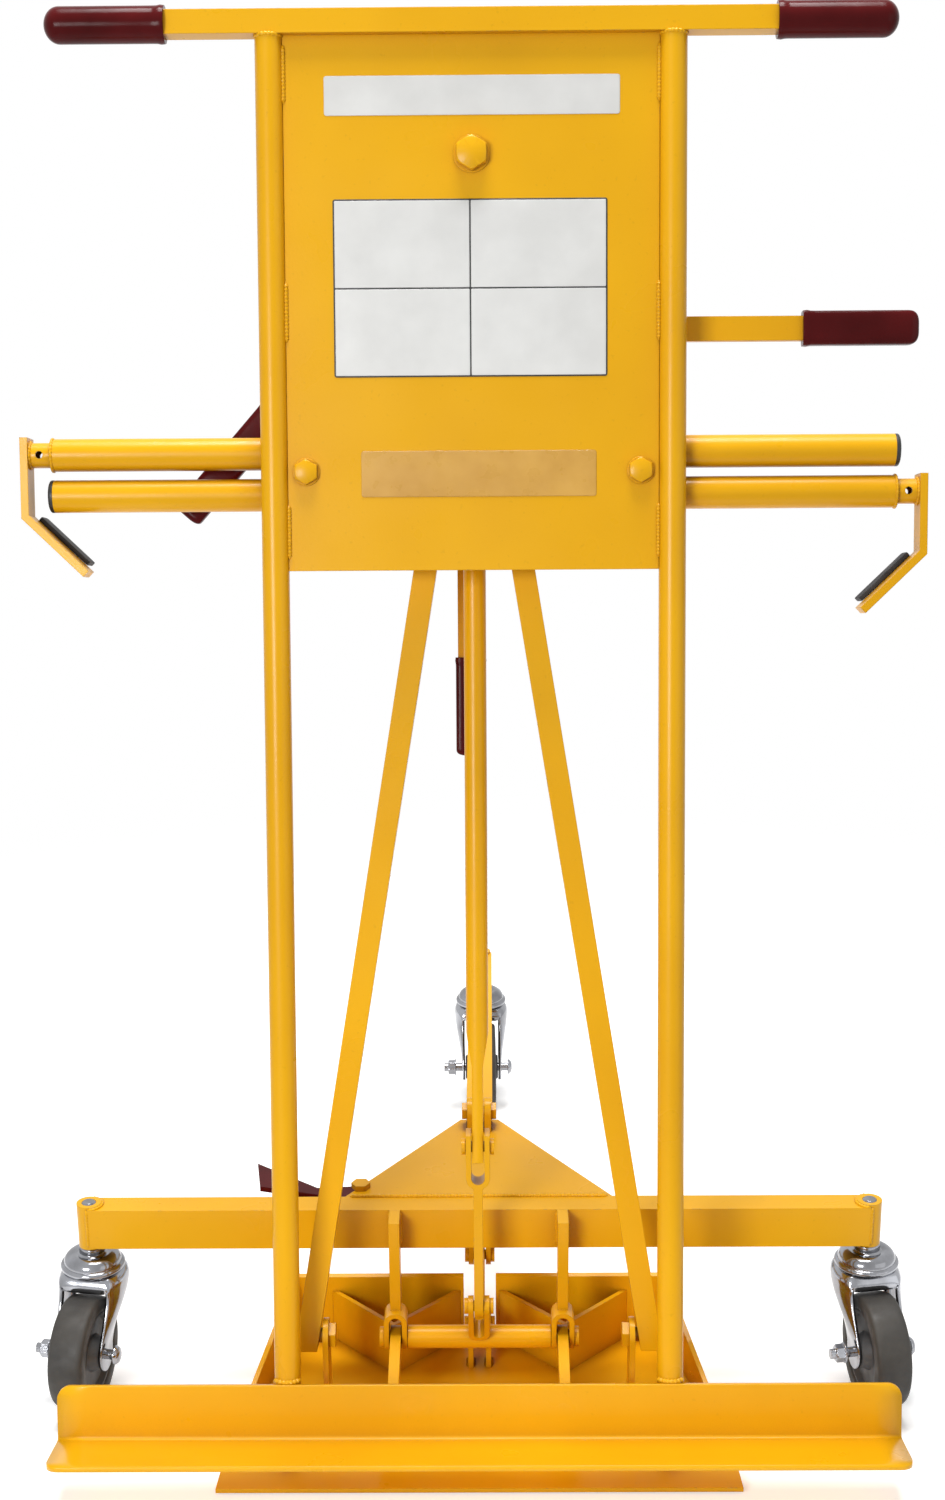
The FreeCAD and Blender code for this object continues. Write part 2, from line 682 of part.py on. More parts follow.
# Folding leg with its tongue between the lugs, and the lever that releases it.
def make_leg():
    tongue_radius = "leg_pivot_rise - gusset_plate + face_gap"
    behind = "cross_back + gusset_reach + face_gap"
    outline = [("leg_pivot_y", f"leg_pivot_z + {tongue_radius}"),
               ("leg_pivot_y", f"leg_pivot_z - ({tongue_radius})"),
               (behind, f"leg_pivot_z - ({tongue_radius})"),
               (f"{behind} + cross_wall", "cross_bottom + cross_wall"),
               ("cross_y + leg_start", "cross_bottom + cross_wall"), ("cross_y + leg_start", "cross_top")]
    tongue = slab("YZ_Plane", outline, "tongue_plate")
    half = "tongue_plate / 2"
    eye = bar("x", f"2 * ({tongue_radius})", f"-{half}", half, 0, "leg_pivot_y", "leg_pivot_z")
    hole = bar("x", "pivot_bolt_diameter + 2 * running_fit", f"-{half}", half,
               0, "leg_pivot_y", "leg_pivot_z")
    length = ("cross_y + leg_start", "rear_y")
    tube = block(("-cross_depth / 2", "cross_depth / 2"), length, ("cross_bottom", "cross_top"))
    hollow = block(("-cross_depth / 2 + cross_wall", "cross_depth / 2 - cross_wall"),
                   ("cross_y + leg_start + cross_wall", "rear_y"),
                   ("cross_bottom + cross_wall", "cross_top - cross_wall"))
    cope = bar("z", "sleeve_diameter", "sleeve_bottom", "sleeve_bottom + sleeve_height", 0, "rear_y")
    shank = cut(fuse(tube, tongue, eye), hollow, cope, hole)
    node("folding_leg", fuse(shank, sleeve("0", "rear_y")))
    node("rear_caster_stem", stem("0", "rear_y"))


def make_release_lever():
    level = "release_bottom + release_plate / 2"
    half = "release_width / 2"
    arm = slab("XY_Plane", [("0", half), ("-release_neck", "release_neck_back"),
                            ("-release_reach", "release_tab_back"),
                            ("release_tab_slant - release_reach", "release_tab_back - release_tab_width"),
                            ("-release_neck", "release_neck_back - release_neck_width"), ("0", f"-{half}")],
               "release_plate", level)
    narrow = "release_finger_width / 2"
    finger = slab("XY_Plane", [("0", f"-{narrow}"), ("release_finger", f"-{narrow}"),
                               ("release_finger", narrow), ("0", narrow)], "release_plate", level)
    turn(finger, (0, 0, 1), "release_finger_angle")
    top = "release_bottom + release_plate"
    hub = bar("z", "release_width", "release_bottom", top)
    hole = bar("z", "pivot_bolt_diameter + 2 * running_fit", "release_bottom", top)
    node("release_lever", move(cut(fuse(arm, finger, hub), hole), "-release_x", "release_y"))


# Lift crank: a shaft in the hangers' forks with two arms to the carriage and a lever up to the lift link.
def make_crank():
    shaft = headed_pin("x", "crank_shaft_diameter", "shaft_head", "shaft_head_height",
                       "-shaft_half", "shaft_half")
    inner = "hanger_x - crank_fork_width / 2 - face_gap"
    tube = bar("x", "torque_tube_diameter", f"-({inner})", inner)
    pieces = [crank_arm(signed(sign, "hanger_x")) for sign in (-1, 1)]
    pieces.append(crank_lever())
    crank = move(fuse(shaft, tube, *pieces), 0, "crank_y", "crank_z")
    half = "lever_inside / 2 + lever_plate"
    pin = headed_pin("x", "link_pin_diameter", "link_pin_head", "link_pin_head_height",
                     f"-({half})", half, 0, "lever_pin_y", "lever_pin_z")
    node("lift_crank", group(crank, pin))


def link_plate(length, thickness, radius, bore):
    """Plate with round ends, an eye at the origin and a bored eye at its far end along -Y."""
    half = f"({thickness}) / 2"
    web = block((f"-{half}", half), (f"-({length})", "0"), (f"-({radius})", radius))
    ends = [bar("x", f"2 * ({radius})", f"-{half}", half, 0, y) for y in ("0", f"-({length})")]
    return cut(fuse(web, *ends), bar("x", bore, f"-{half}", half, 0, f"-({length})"))


def crank_arm(middle):
    arm = link_plate("crank_length", "crank_plate", "crank_eye_radius",
                     "carriage_pin_diameter + 2 * running_fit")
    turn(arm, (1, 0, 0), "crank_fall_angle")
    return move(arm, middle)


def crank_lever():
    """Bar bent to a U on the torque tube, with an eye for the lift link's pin in each arm."""
    half = "lever_inside / 2 + lever_plate"
    depth = ("-lever_eye_radius", "lever_eye_radius")
    bend = f"torque_tube_diameter / 2 + {half} - lever_plate / 2"
    arms = fuse(block((f"-({half})", half), depth, (bend, "lever_length")),
                bar("y", f"2 * ({half})", *depth, 0, 0, bend),
                bar("x", "2 * lever_eye_radius", f"-({half})", half, 0, 0, "lever_length"))
    gap = fuse(block(("-lever_inside / 2", "lever_inside / 2"), depth,
                     (bend, "lever_length + lever_eye_radius")),
               bar("y", "lever_inside", *depth, 0, 0, bend))
    bore = bar("x", "link_pin_diameter + 2 * running_fit", f"-({half})", half, 0, 0, "lever_length")
    return turn(cut(arms, gap, bore), (1, 0, 0), "lever_lean")


# Lift carriage: a low pan on the crank's arms, kept level by the rear link, with brackets for the mast.
def make_carriage():
    plan = [("-pan_front_half", "cross_y - pan_front"), ("pan_front_half", "cross_y - pan_front"),
            ("pan_waist_half", "cross_y - pan_waist"), ("pan_rear_half", "cross_y + pan_rear"),
            ("-pan_rear_half", "cross_y + pan_rear"), ("-pan_waist_half", "cross_y - pan_waist")]
    inset = {"cross_y - pan_front": "cross_y - pan_front - pan_plate",
             "cross_y - pan_waist": "cross_y - pan_waist",
             "cross_y + pan_rear": "cross_y + pan_rear - pan_plate"}
    inner = [(f"{x} - pan_plate" if not x.startswith("-") else f"{x} + pan_plate", inset[y]) for x, y in plan]
    body = slab("XY_Plane", plan, "pan_rear_height", "pan_bottom + pan_rear_height / 2")
    hollow = slab("XY_Plane", inner, "pan_rear_height", "pan_top + pan_rear_height / 2")
    high = "pan_bottom + 2 * pan_rear_height"
    front, rear = "cross_y - pan_front - pan_plate", "cross_y + pan_rear"
    slope = slab("YZ_Plane", [(front, "pan_top"), ("cross_y - pan_waist", "pan_top"),
                              (rear, "pan_bottom + pan_rear_height"), (rear, high), (front, high)],
                 "3 * pan_front_half")
    notch = block(("-pan_notch / 2", "pan_notch / 2"), (f"{rear} - pan_plate", rear),
                  ("pan_top", "pan_bottom + pan_rear_height"))
    node("carriage_pan", cut(body, hollow, slope, notch))
    node("pan_ribs", group(*[pan_rib(sign) for sign in (-1, 1)]))
    node("carriage_ears", group(*[ear for sign in (-1, 1) for ear in carriage_ears(signed(sign, "hanger_x"))],
                                *[rear_ear(sign) for sign in (-1, 1)]))
    node("carriage_pins", group(*[carriage_pin(signed(sign, "hanger_x")) for sign in (-1, 1)],
                                rear_pin("rear_pin_y", "rear_pin_z")))
    node("mast_brackets", group(*[plate for x in ("-tilt_x", "tilt_x") for plate in mast_bracket(x)]))
    half = "bracket_gap / 2 + bracket_plate"
    bolts = [hex_bolt("x", "tilt_bolt_diameter", "tilt_bolt_head", "tilt_bolt_head_height",
                      f"{middle} - ({half})", f"{middle} + {half}", 0, "tilt_y", "tilt_z")
             for middle in ("-tilt_x", "tilt_x")]
    node("tilt_bolts", group(*bolts))


def pan_rib(sign):
    """Upright rib bent to a V, from the rear wall forward under the cross tube and back."""
    rear = "cross_y + pan_rear - pan_plate"
    front = "cross_y - rib_front"
    middle = "(rib_outer + rib_inner) / 2"
    lift = "rib_width * (pan_rear - pan_plate + rib_front) / ((rib_outer - rib_inner) / 2)"
    outline = [("rib_outer", rear), (middle, front), ("rib_inner", rear), ("rib_inner + rib_width", rear),
               (middle, f"{front} + {lift}"), ("rib_outer - rib_width", rear)]
    return slab("XY_Plane", [(signed(sign, x), y) for x, y in outline],
                "rib_height", "pan_top + rib_height / 2")


def standing_ear(x, y, z, radius, bore):
    """Plate with a round top that stands on the pan and holds a pin across it."""
    plate = block(x, (f"{y} - {radius}", f"{y} + {radius}"), ("pan_top", z))
    top = bar("x", f"2 * {radius}", *x, 0, y, z)
    return cut(fuse(plate, top), bar("x", f"{bore} + 2 * running_fit", *x, 0, y, z))


def carriage_ears(middle):
    near = "crank_plate / 2 + crank_side_gap"
    sides = [(f"{middle} - ({near} + ear_plate)", f"{middle} - ({near})"),
             (f"{middle} + {near}", f"{middle} + {near} + ear_plate")]
    return [standing_ear(x, "carriage_pin_y", "carriage_pin_z", "ear_radius", "carriage_pin_diameter")
            for x in sides]


def rear_ear(sign):
    x = span(sign, "rear_inside / 2", "rear_inside / 2 + ear_plate")
    return standing_ear(x, "rear_pin_y", "rear_pin_z", "ear_radius", "carriage_pin_diameter")


def carriage_pin(middle):
    half = "crank_plate / 2 + crank_side_gap + ear_plate"
    return headed_pin("x", "carriage_pin_diameter", "link_pin_head", "link_pin_head_height",
                      f"{middle} - ({half})", f"{middle} + {half}", 0, "carriage_pin_y", "carriage_pin_z")


def mast_bracket(middle):
    sides = [(f"{middle} - bracket_gap / 2 - bracket_plate", f"{middle} - bracket_gap / 2"),
             (f"{middle} + bracket_gap / 2", f"{middle} + bracket_gap / 2 + bracket_plate")]
    return [standing_ear(x, "tilt_y", "tilt_z", "bracket_radius", "tilt_bolt_diameter") for x in sides]


def make_rear_link():
    bore = "carriage_pin_diameter + 2 * running_fit"
    half = "crank_plate / 2"
    plate = link_plate("crank_length", "crank_plate", "crank_eye_radius", bore)
    link = cut(plate, bar("x", bore, f"-{half}", half))
    turn(link, (1, 0, 0), "crank_fall_angle")
    node("rear_link", move(link, 0, "rear_pivot_y", "rear_pivot_z"))


# Lift link in front of the cross tube, and the lift rod that stands on it.
def make_link_and_rod():
    half = "link_bar / 2"
    depth = ("-link_depth / 2", "link_depth / 2")
    strap = block((f"-{half}", half), depth, ("0", "link_length - link_fork_bottom + crank_side_gap"))
    eye = bar("x", "link_depth", f"-{half}", half)
    cheeks = ("-link_fork_width / 2", "link_fork_width / 2")
    bend = "link_length - link_fork_bottom + link_fork_width / 2"
    top = "link_length + link_fork_top"
    fork = fuse(block(cheeks, depth, (bend, top)), bar("y", "link_fork_width", *depth, 0, 0, bend))
    slot = fuse(block(("-link_slot / 2", "link_slot / 2"), depth, (bend, top)),
                bar("y", "link_slot", *depth, 0, 0, bend))
    bore = "link_pin_diameter + 2 * running_fit"
    holes = [bar("x", bore, f"-{half}", half), bar("x", bore, *cheeks, 0, 0, "link_length")]
    link = cut(fuse(strap, eye, fork), slot, *holes)
    turn(link, (-1, 0, 0), "link_lean")
    node("lift_link", move(link, 0, "lever_pin_y", "lever_pin_z"))
    reach = "link_fork_width / 2 + face_gap"
    node("rod_pin", headed_pin("x", "link_pin_diameter", "link_pin_head", "link_pin_head_height",
                               f"-({reach})", reach, 0, "rod_pin_y", "rod_pin_z"))

    neck = "rod_length + rod_eye_rise - rod_eye_stroke / 2 - rod_eye_radius + rod_eye_wall / 2"
    wide = "rod_diameter / 2 + running_fit"
    flat = "rod_tab / 2"
    right = [(flat, "-rod_tab_end"), (flat, "rod_tab_length"),
             (wide, "rod_tab_length + rod_taper"), (wide, neck)]
    left = [(f"-({x})", z) for x, z in reversed(right)]
    shank = common(bar("z", "rod_diameter", "-rod_tab_end", neck),
                   slab("XZ_Plane", right + left, "2 * rod_diameter"))
    thick = "rod_eye_plate / 2"
    top_eye = rod_eye("rod_eye_radius", thick)
    top_bore = rod_eye("rod_eye_radius - rod_eye_wall", thick)
    foot_bore = bar("x", bore, f"-{flat}", flat)
    rod = cut(fuse(shank, top_eye), top_bore, foot_bore)
    turn(rod, (-1, 0, 0), "rod_lean")
    node("lift_rod", move(rod, 0, "rod_pin_y", "rod_pin_z"))


def rod_eye(radius, thick):
    """Oval with round ends about the path that the lift lever's pin takes."""
    middle = "eye_x + rod_eye_side"
    low = "rod_length + rod_eye_rise - rod_eye_stroke / 2"
    high = f"{low} + rod_eye_stroke"
    web = block((f"{middle} - ({radius})", f"{middle} + {radius}"), (f"-{thick}", thick), (low, high))
    ends = [bar("y", f"2 * ({radius})", f"-{thick}", thick, middle, 0, z) for z in (low, high)]
    return fuse(web, *ends)


# Mast: two legs rising from the tilt bolts to a head plate behind the door frame.
def make_mast():
    for sign, side in ((-1, "left"), (1, "right")):
        on_mast(f"mast_leg_{side}", mast_leg(sign))
    head = block(("-head_half", "head_half"), ("head_front", "head_back"), ("mast_height", "head_top"))
    boss = bar("y", "boss_diameter", "boss_front", "head_front", 0, 0, "top_bolt_z")
    holes = [bar("y", "top_bolt_diameter + 2 * running_fit", "boss_front", "head_back", 0, 0, "top_bolt_z"),
             bar("y", "lever_pin_diameter + 2 * running_fit", "head_front", "head_back",
                 "-lift_pivot_x", 0, "lift_pivot_z"),
             bar("y", "lever_pin_diameter + 2 * running_fit", "head_front", "head_back",
                 "side_pivot_x", 0, "side_pivot_z")]
    on_mast("mast_head", cut(fuse(head, boss), *holes))
    plate = block(("-guide_half", "guide_half"), ("mast_bar / 2", "guide_back"),
                  ("guide_z - guide_height / 2", "guide_z + guide_height / 2"))
    guide = cut(plate, *[guide_slot(sign) for sign in (-1, 1)])
    on_mast("guide_plate_and_tilt_ears", group(guide, *[tilt_ear(sign) for sign in (-1, 1)]))
    lift_bolt = hex_bolt("y", "lever_pin_diameter", "lever_pin_head", "lever_pin_head_height",
                         "head_front", "lift_back + face_gap", "-lift_pivot_x", 0, "lift_pivot_z")
    side_bolt = hex_bolt("y", "lever_pin_diameter", "lever_pin_head", "lever_pin_head_height",
                         "side_front - face_gap", "head_back", "side_pivot_x", 0, "side_pivot_z")
    half = "tilt_ear_x + bracket_plate / 2"
    tilt_pin = headed_pin("x", "tilt_pin_diameter", "link_pin_head", "link_pin_head_height",
                          f"-({half})", half, 0, "tilt_pivot_back", "tilt_pivot_z")
    on_mast("mast_pivots", group(lift_bolt, side_bolt, tilt_pin))


def mast_leg(sign):
    """Square tube from a tilt bolt up to the head plate."""
    low = "-mast_foot"

    def outline(half):
        foot = "tilt_x + mast_slope * mast_foot"
        return [(signed(sign, f"{foot} - ({half})"), low), (signed(sign, f"{foot} + ({half})"), low),
                (signed(sign, f"mast_top_x + ({half})"), "mast_height"),
                (signed(sign, f"mast_top_x - ({half})"), "mast_height")]

    outer = slab("XZ_Plane", outline("mast_half"), "mast_bar")
    hollow = slab("XZ_Plane", outline("mast_half - bar_wall"), "mast_bar - 2 * bar_wall")
    ends = span(sign, "tilt_x - bracket_gap", "tilt_x + bracket_gap")
    return cut(outer, hollow, bar("x", "tilt_bolt_diameter + 2 * running_fit", *ends))


def guide_slot(sign):
    """Slot along the path of a guide bolt, which swings about the top bolt with the door frame."""
    reach = "(guide_slot - guide_slot_height) / 2"
    depth = ("mast_bar / 2", "guide_back")
    web = block((f"-{reach}", reach), depth, ("-guide_slot_height / 2", "guide_slot_height / 2"))
    ends = [bar("y", "guide_slot_height", *depth, signed(way, reach)) for way in (-1, 1)]
    slot = turn(fuse(web, *ends), (0, -sign, 0), "atan(guide_bolt_x / (top_bolt_z - guide_z))")
    return move(slot, signed(sign, "guide_bolt_x"), 0, "guide_z")


def tilt_ear(sign):
    x = span(sign, "tilt_ear_x - bracket_plate / 2", "tilt_ear_x + bracket_plate / 2")
    plate = block(x, ("mast_bar / 2", "tilt_pivot_back"),
                  ("tilt_pivot_z - tilt_ear_radius", "tilt_pivot_z + tilt_ear_radius"))
    end = bar("x", "2 * tilt_ear_radius", *x, 0, "tilt_pivot_back", "tilt_pivot_z")
    return cut(fuse(plate, end), bar("x", "tilt_pin_diameter + 2 * running_fit", *x, 0,
                                     "tilt_pivot_back", "tilt_pivot_z"))


# Hand levers, each with a dipped grip: lift and side tilt on the mast's head, tilt between the mast's legs.
def soften(body, radius):
    """Round every edge of a padded plate, as dipped vinyl is."""
    pad = body.Tip
    doc.recompute()
    rounded = body.newObject("PartDesign::Fillet", "rounded")
    rounded.Base = (pad, [""])
    rounded.UseAllEdges = True
    bind(rounded, Radius=radius)
    return body


def strip(plane, low, high, half, thickness):
    """Straight plate along the sketch's first axis."""
    return slab(plane, [(low, f"-({half})"), (high, f"-({half})"), (high, half), (low, half)], thickness)


def lift_strip(low, high, half, thickness, angle):
    """Plate in the lift lever's plane, running away from its pivot at an angle."""
    plate = strip("XZ_Plane", low, high, half, thickness)
    turn(plate, (0, -1, 0), angle)
    return move(plate, "-lift_pivot_x", "lift_front + lift_plate / 2", "lift_pivot_z")


def make_lift_lever():
    handle = lift_strip("-lift_length", "0", "lift_bar / 2", "lift_plate", "lift_angle")
    crank = lift_strip("0", "lift_crank", "lift_crank_radius", "lift_plate", "lift_crank_angle")
    depth = ("lift_front", "lift_back")
    hub = bar("y", "2 * lift_hub_radius", *depth, "-lift_pivot_x", 0, "lift_pivot_z")
    eye = bar("y", "2 * lift_crank_radius", *depth, "eye_x", 0, "eye_up")
    pin = bar("y", "link_pin_diameter", "lift_back", "rod_top_back + rod_eye_plate", "eye_x", 0, "eye_up")
    hole = bar("y", "lever_pin_diameter + 2 * running_fit", *depth, "-lift_pivot_x", 0, "lift_pivot_z")
    on_mast("lift_lever", cut(fuse(handle, crank, hub, eye, pin), hole))
    skin = lift_strip("-lift_length - grip_skin", "lift_grip - lift_length", "lift_bar / 2 + grip_skin",
                      "lift_plate + 2 * grip_skin", "lift_angle")
    core = lift_strip("-lift_length", "0", "lift_bar / 2", "lift_plate", "lift_angle")
    on_mast("lift_grip", cut(soften(skin, "grip_skin * 1.5"), core))


def make_side_lever():
    depth = ("side_front", "side_back")
    level = ("side_pivot_z - side_bar / 2", "side_pivot_z + side_bar / 2")
    handle = block(("side_pivot_x", "side_end"), depth, level)
    hub = bar("y", "2 * side_hub_radius", *depth, "side_pivot_x", 0, "side_pivot_z")
    stud_z = "side_pivot_z - side_drop"
    drop = block(("side_pivot_x - side_bar / 2", "side_pivot_x + side_bar / 2"), depth,
                 (stud_z, "side_pivot_z"))
    toe = bar("y", "side_bar", *depth, "side_pivot_x", 0, stud_z)
    holes = [bar("y", "lever_pin_diameter + 2 * running_fit", *depth, "side_pivot_x", 0, "side_pivot_z"),
             bar("y", "side_stud_diameter + 2 * side_stud_play", *depth, "side_pivot_x", 0, stud_z)]
    on_mast("side_lever", cut(fuse(handle, hub, drop, toe), *holes))
    skin = strip("XZ_Plane", "side_end - side_grip", "side_end + grip_skin", "side_bar / 2 + 2 * grip_skin",
                 "side_plate + 4 * grip_skin")
    move(soften(skin, "grip_skin * 2"), 0, "(side_front + side_back) / 2", "side_pivot_z")
    core = block(("side_pivot_x", "side_end"), depth, level)
    on_mast("side_grip", cut(skin, core))


def make_tilt_lever():
    """Lever whose cam bears on the back of the lift rod and so leans the mast."""
    half = "tilt_cam_width / 2"
    cam = bar("x", "2 * tilt_cam_radius", f"-{half}", half, 0,
              "tilt_pivot_back - tilt_cam_offset * cos(tilt_cam_angle)",
              "tilt_pivot_z - tilt_cam_offset * sin(tilt_cam_angle)")
    reach = "tilt_ear_x - bracket_plate / 2 - face_gap"
    hub = bar("x", "2 * tilt_pin_diameter", f"-({reach})", reach, 0, "tilt_pivot_back", "tilt_pivot_z")
    depth = ("tilt_pivot_back - tilt_plate / 2", "tilt_pivot_back + tilt_plate / 2")
    low = "tilt_pivot_z - tilt_length"
    side = ("-tilt_bar_x - tilt_bar / 2", "tilt_bar / 2 - tilt_bar_x")
    handle = block(side, depth, (low, "tilt_pivot_z"))
    hole = bar("x", "tilt_pin_diameter + 2 * running_fit", f"-({reach})", reach, 0,
               "tilt_pivot_back", "tilt_pivot_z")
    on_mast("tilt_lever", cut(fuse(cam, hub, handle), hole))
    outer = (f"{side[0]} - grip_skin", f"{side[1]} + grip_skin")
    skin = slab("XZ_Plane", [(outer[0], f"{low} - grip_skin"), (outer[1], f"{low} - grip_skin"),
                             (outer[1], f"{low} + tilt_grip"), (outer[0], f"{low} + tilt_grip")],
                "tilt_plate + 2 * grip_skin", "tilt_pivot_back")
    core = block(side, depth, (low, "tilt_pivot_z"))
    on_mast("tilt_grip", cut(soften(skin, "grip_skin * 1.5"), core))


# Door frame: uprights, handlebar, face plate and shelf, hung on the mast by its top bolt.
def make_frame():
    for sign, side in ((-1, "left"), (1, "right")):
        x = signed(sign, "upright_x")
        length = ("shelf_z + upright_foot", "bar_z")
        outer = bar("z", "upright_diameter", *length, x, "frame_y")
        bore = bar("z", "upright_diameter - 2 * upright_wall", *length, x, "frame_y")
        on_mast(f"upright_{side}", cut(outer, bore))
    ends = ("-bar_length / 2", "bar_length / 2")
    outer = block(ends, ("frame_y - bar_side / 2", "frame_y + bar_side / 2"), ("bar_z", "bar_z + bar_side"))
    inner = block(ends, ("frame_y - bar_side / 2 + bar_wall", "frame_y + bar_side / 2 - bar_wall"),
                  ("bar_z + bar_wall", "bar_z + bar_side - bar_wall"))
    on_mast("handlebar", cut(outer, inner))
    on_mast("handlebar_grips", group(*[bar_grip(sign) for sign in (-1, 1)]))

    depth = ("plate_front", "plate_back")
    plate = block(("-plate_half", "plate_half"), depth, ("plate_bottom", "bar_z"))
    stud = bar("y", "side_stud_diameter", "plate_back", "side_back",
               "side_pivot_x", 0, "side_pivot_z - side_drop")
    holes = [bar("y", "top_bolt_diameter + 2 * running_fit", *depth, 0, 0, "top_bolt_z")]
    holes += [bar("y", "guide_bolt_diameter + 2 * running_fit", *depth,
                  signed(sign, "guide_bolt_x"), 0, "guide_z") for sign in (-1, 1)]
    on_mast("face_plate", cut(fuse(plate, stud), *holes))
    bolts = [hex_bolt("y", "guide_bolt_diameter", "guide_bolt_head", "guide_bolt_head_height",
                      "plate_front", "guide_back + face_gap", signed(sign, "guide_bolt_x"), 0, "guide_z")
             for sign in (-1, 1)]
    pivot = hex_bolt("y", "top_bolt_diameter", "top_bolt_head", "top_bolt_head_height",
                     "plate_front", "head_back + face_gap", 0, 0, "top_bolt_z")
    on_mast("frame_bolts", group(pivot, *bolts))
    on_mast("shelf_angle", shelf())


def bar_grip(sign):
    """Round-ended vinyl grip dipped over one end of the handlebar."""
    radius = "bar_grip_diameter / 2"
    nose = "bar_grip_cap"
    sleeve_end = "bar_grip - bar_grip_cap"
    arc = [(f"{radius} - {nose} * (1 - cos({angle}))", f"{sleeve_end} + {nose} * sin({angle})")
           for angle in (0, 30, 60, 90)]
    skin = spun([("0", "0"), (radius, "0")] + arc + [("0", "bar_grip")])
    skin.Placement = Placement(Vector(), Rotation(Vector(0, sign, 0), 90))
    move(skin, signed(sign, "bar_length / 2 + bar_grip_cap - bar_grip"), "frame_y", "bar_z + bar_side / 2")
    core = block(("-bar_length / 2", "bar_length / 2"), ("frame_y - bar_side / 2", "frame_y + bar_side / 2"),
                 ("bar_z", "bar_z + bar_side"))
    return cut(skin, core)


def shelf():
    """Angle iron with rounded front corners."""
    half = "shelf_length / 2"
    front = "shelf_back - shelf_leg"
    level = ("shelf_z", "shelf_z + shelf_plate")
    leg = block((f"-{half}", half), ("shelf_back - shelf_plate", "shelf_back"),
                ("shelf_z", "shelf_z + shelf_leg"))
    deep = block((f"-{half} + shelf_corner", f"{half} - shelf_corner"), (front, "shelf_back"), level)
    wide = block((f"-{half}", half), (f"{front} + shelf_corner", "shelf_back"), level)
    corners = [bar("z", "2 * shelf_corner", *level, signed(sign, f"{half} - shelf_corner"),
                   f"{front} + shelf_corner") for sign in (-1, 1)]
    return fuse(leg, deep, wide, *corners)


# Door hooks: each slides in its own tube against a spring, and turns in the collar at its inner end.
def make_hooks():
    ends = ("-hook_tube_length / 2", "hook_tube_length / 2")
    for sign, side, level in ((-1, "upper", "hook_upper_z"), (1, "lower", "hook_lower_z")):
        outer = bar("x", "hook_tube_diameter", *ends, 0, "hook_y", level)
        on_mast(f"hook_tube_{side}", cut(outer, bar("x", "hook_bore", *ends, 0, "hook_y", level)))
        name = "left" if sign < 0 else "right"
        on_mast(f"hook_{name}", hook(sign, level))
        on_mast(f"hook_pad_{name}", hook_pad(sign, level))
        on_mast(f"hook_collar_{name}", hook_collar(sign, level))
        on_mast(f"hook_spring_{name}", hook_spring(sign, level))
    on_mast("hook_tube_caps", group(tube_cap(1, "hook_upper_z"), tube_cap(-1, "hook_lower_z")))


def tube_cap(sign, level):
    """Plastic plug in the closed end of a hook tube."""
    end = "hook_tube_length / 2"
    flange = bar("x", "hook_tube_diameter", *span(sign, end, f"{end} + cap_flange"), 0, "hook_y", level)
    plug = bar("x", "hook_bore - 2 * running_fit", *span(sign, f"{end} - cap_plug", end), 0, "hook_y", level)
    return fuse(flange, plug)


HOOK_SLANT = "sqrt(hook_arm_run ^ 2 + hook_arm_fall ^ 2)"
HOOK_BEND = "atan(hook_arm_run / hook_arm_fall)"


def hook(sign, level):
    """Round rod with a bent flat arm at its outer end."""
    length = span(sign, "hook_end_x - hook_rod_length", "hook_end_x")
    rod = bar("x", "hook_rod_diameter", *length, 0, "hook_y", level)
    bore = bar("x", "hook_rod_diameter - 2 * hook_rod_wall", *length, 0, "hook_y", level)
    cross = bar("y", "hook_hole_diameter", "hook_y - hook_rod_diameter", "hook_y + hook_rod_diameter",
                signed(sign, "hook_end_x - hook_hole_inset"), 0, level)
    outer = "hook_end_x + hook_arm_plate"
    low = f"{level} - hook_arm_drop"
    tip = (f"{outer} - hook_arm_run", f"{low} - hook_arm_fall")
    top = f"{level} + hook_arm_top"
    outline = [("hook_end_x", top), (outer, top), (outer, low), tip,
               (f"{tip[0]} - hook_arm_plate * hook_arm_fall / {HOOK_SLANT}",
                f"{tip[1]} + hook_arm_plate * hook_arm_run / {HOOK_SLANT}"),
               ("hook_end_x", f"{low} + hook_arm_plate * tan({HOOK_BEND} / 2)")]
    arm = slab("XZ_Plane", [(signed(sign, x), z) for x, z in outline], "hook_arm_width", "hook_y")
    return fuse(cut(rod, bore, cross), arm)


def hook_pad(sign, level):
    """Rubber pad glued to the inner face of the arm's slanted end."""
    along = ("hook_arm_run / " + HOOK_SLANT, "hook_arm_fall / " + HOOK_SLANT)
    corner = ("hook_end_x", f"{level} - hook_arm_drop + hook_arm_plate * tan({HOOK_BEND} / 2)")
    far = f"({HOOK_SLANT} - hook_pad_inset - hook_arm_plate)"

    def point(reach, rise):
        x = f"{corner[0]} - {reach} * {along[0]} - {rise} * {along[1]}"
        z = f"{corner[1]} - {reach} * {along[1]} + {rise} * {along[0]}"
        return signed(sign, x), z

    outline = [point("hook_pad_inset", "0"), point(far, "0"), point(far, "hook_pad_plate"),
               point("(hook_pad_inset + hook_pad_plate)", "hook_pad_plate")]
    return slab("XZ_Plane", outline, "hook_arm_width", "hook_y")


def hook_collar(sign, level):
    """Sliding collar with a spigot that the hook's rod turns on."""
    inner = "hook_end_x - hook_rod_length - face_gap"
    collar = bar("x", "hook_rod_diameter", *span(sign, f"{inner} - collar_length", inner), 0, "hook_y", level)
    spigot = bar("x", "hook_rod_diameter - 2 * hook_rod_wall - 2 * running_fit",
                 *span(sign, inner, f"{inner} + collar_length"), 0, "hook_y", level)
    return fuse(collar, spigot)


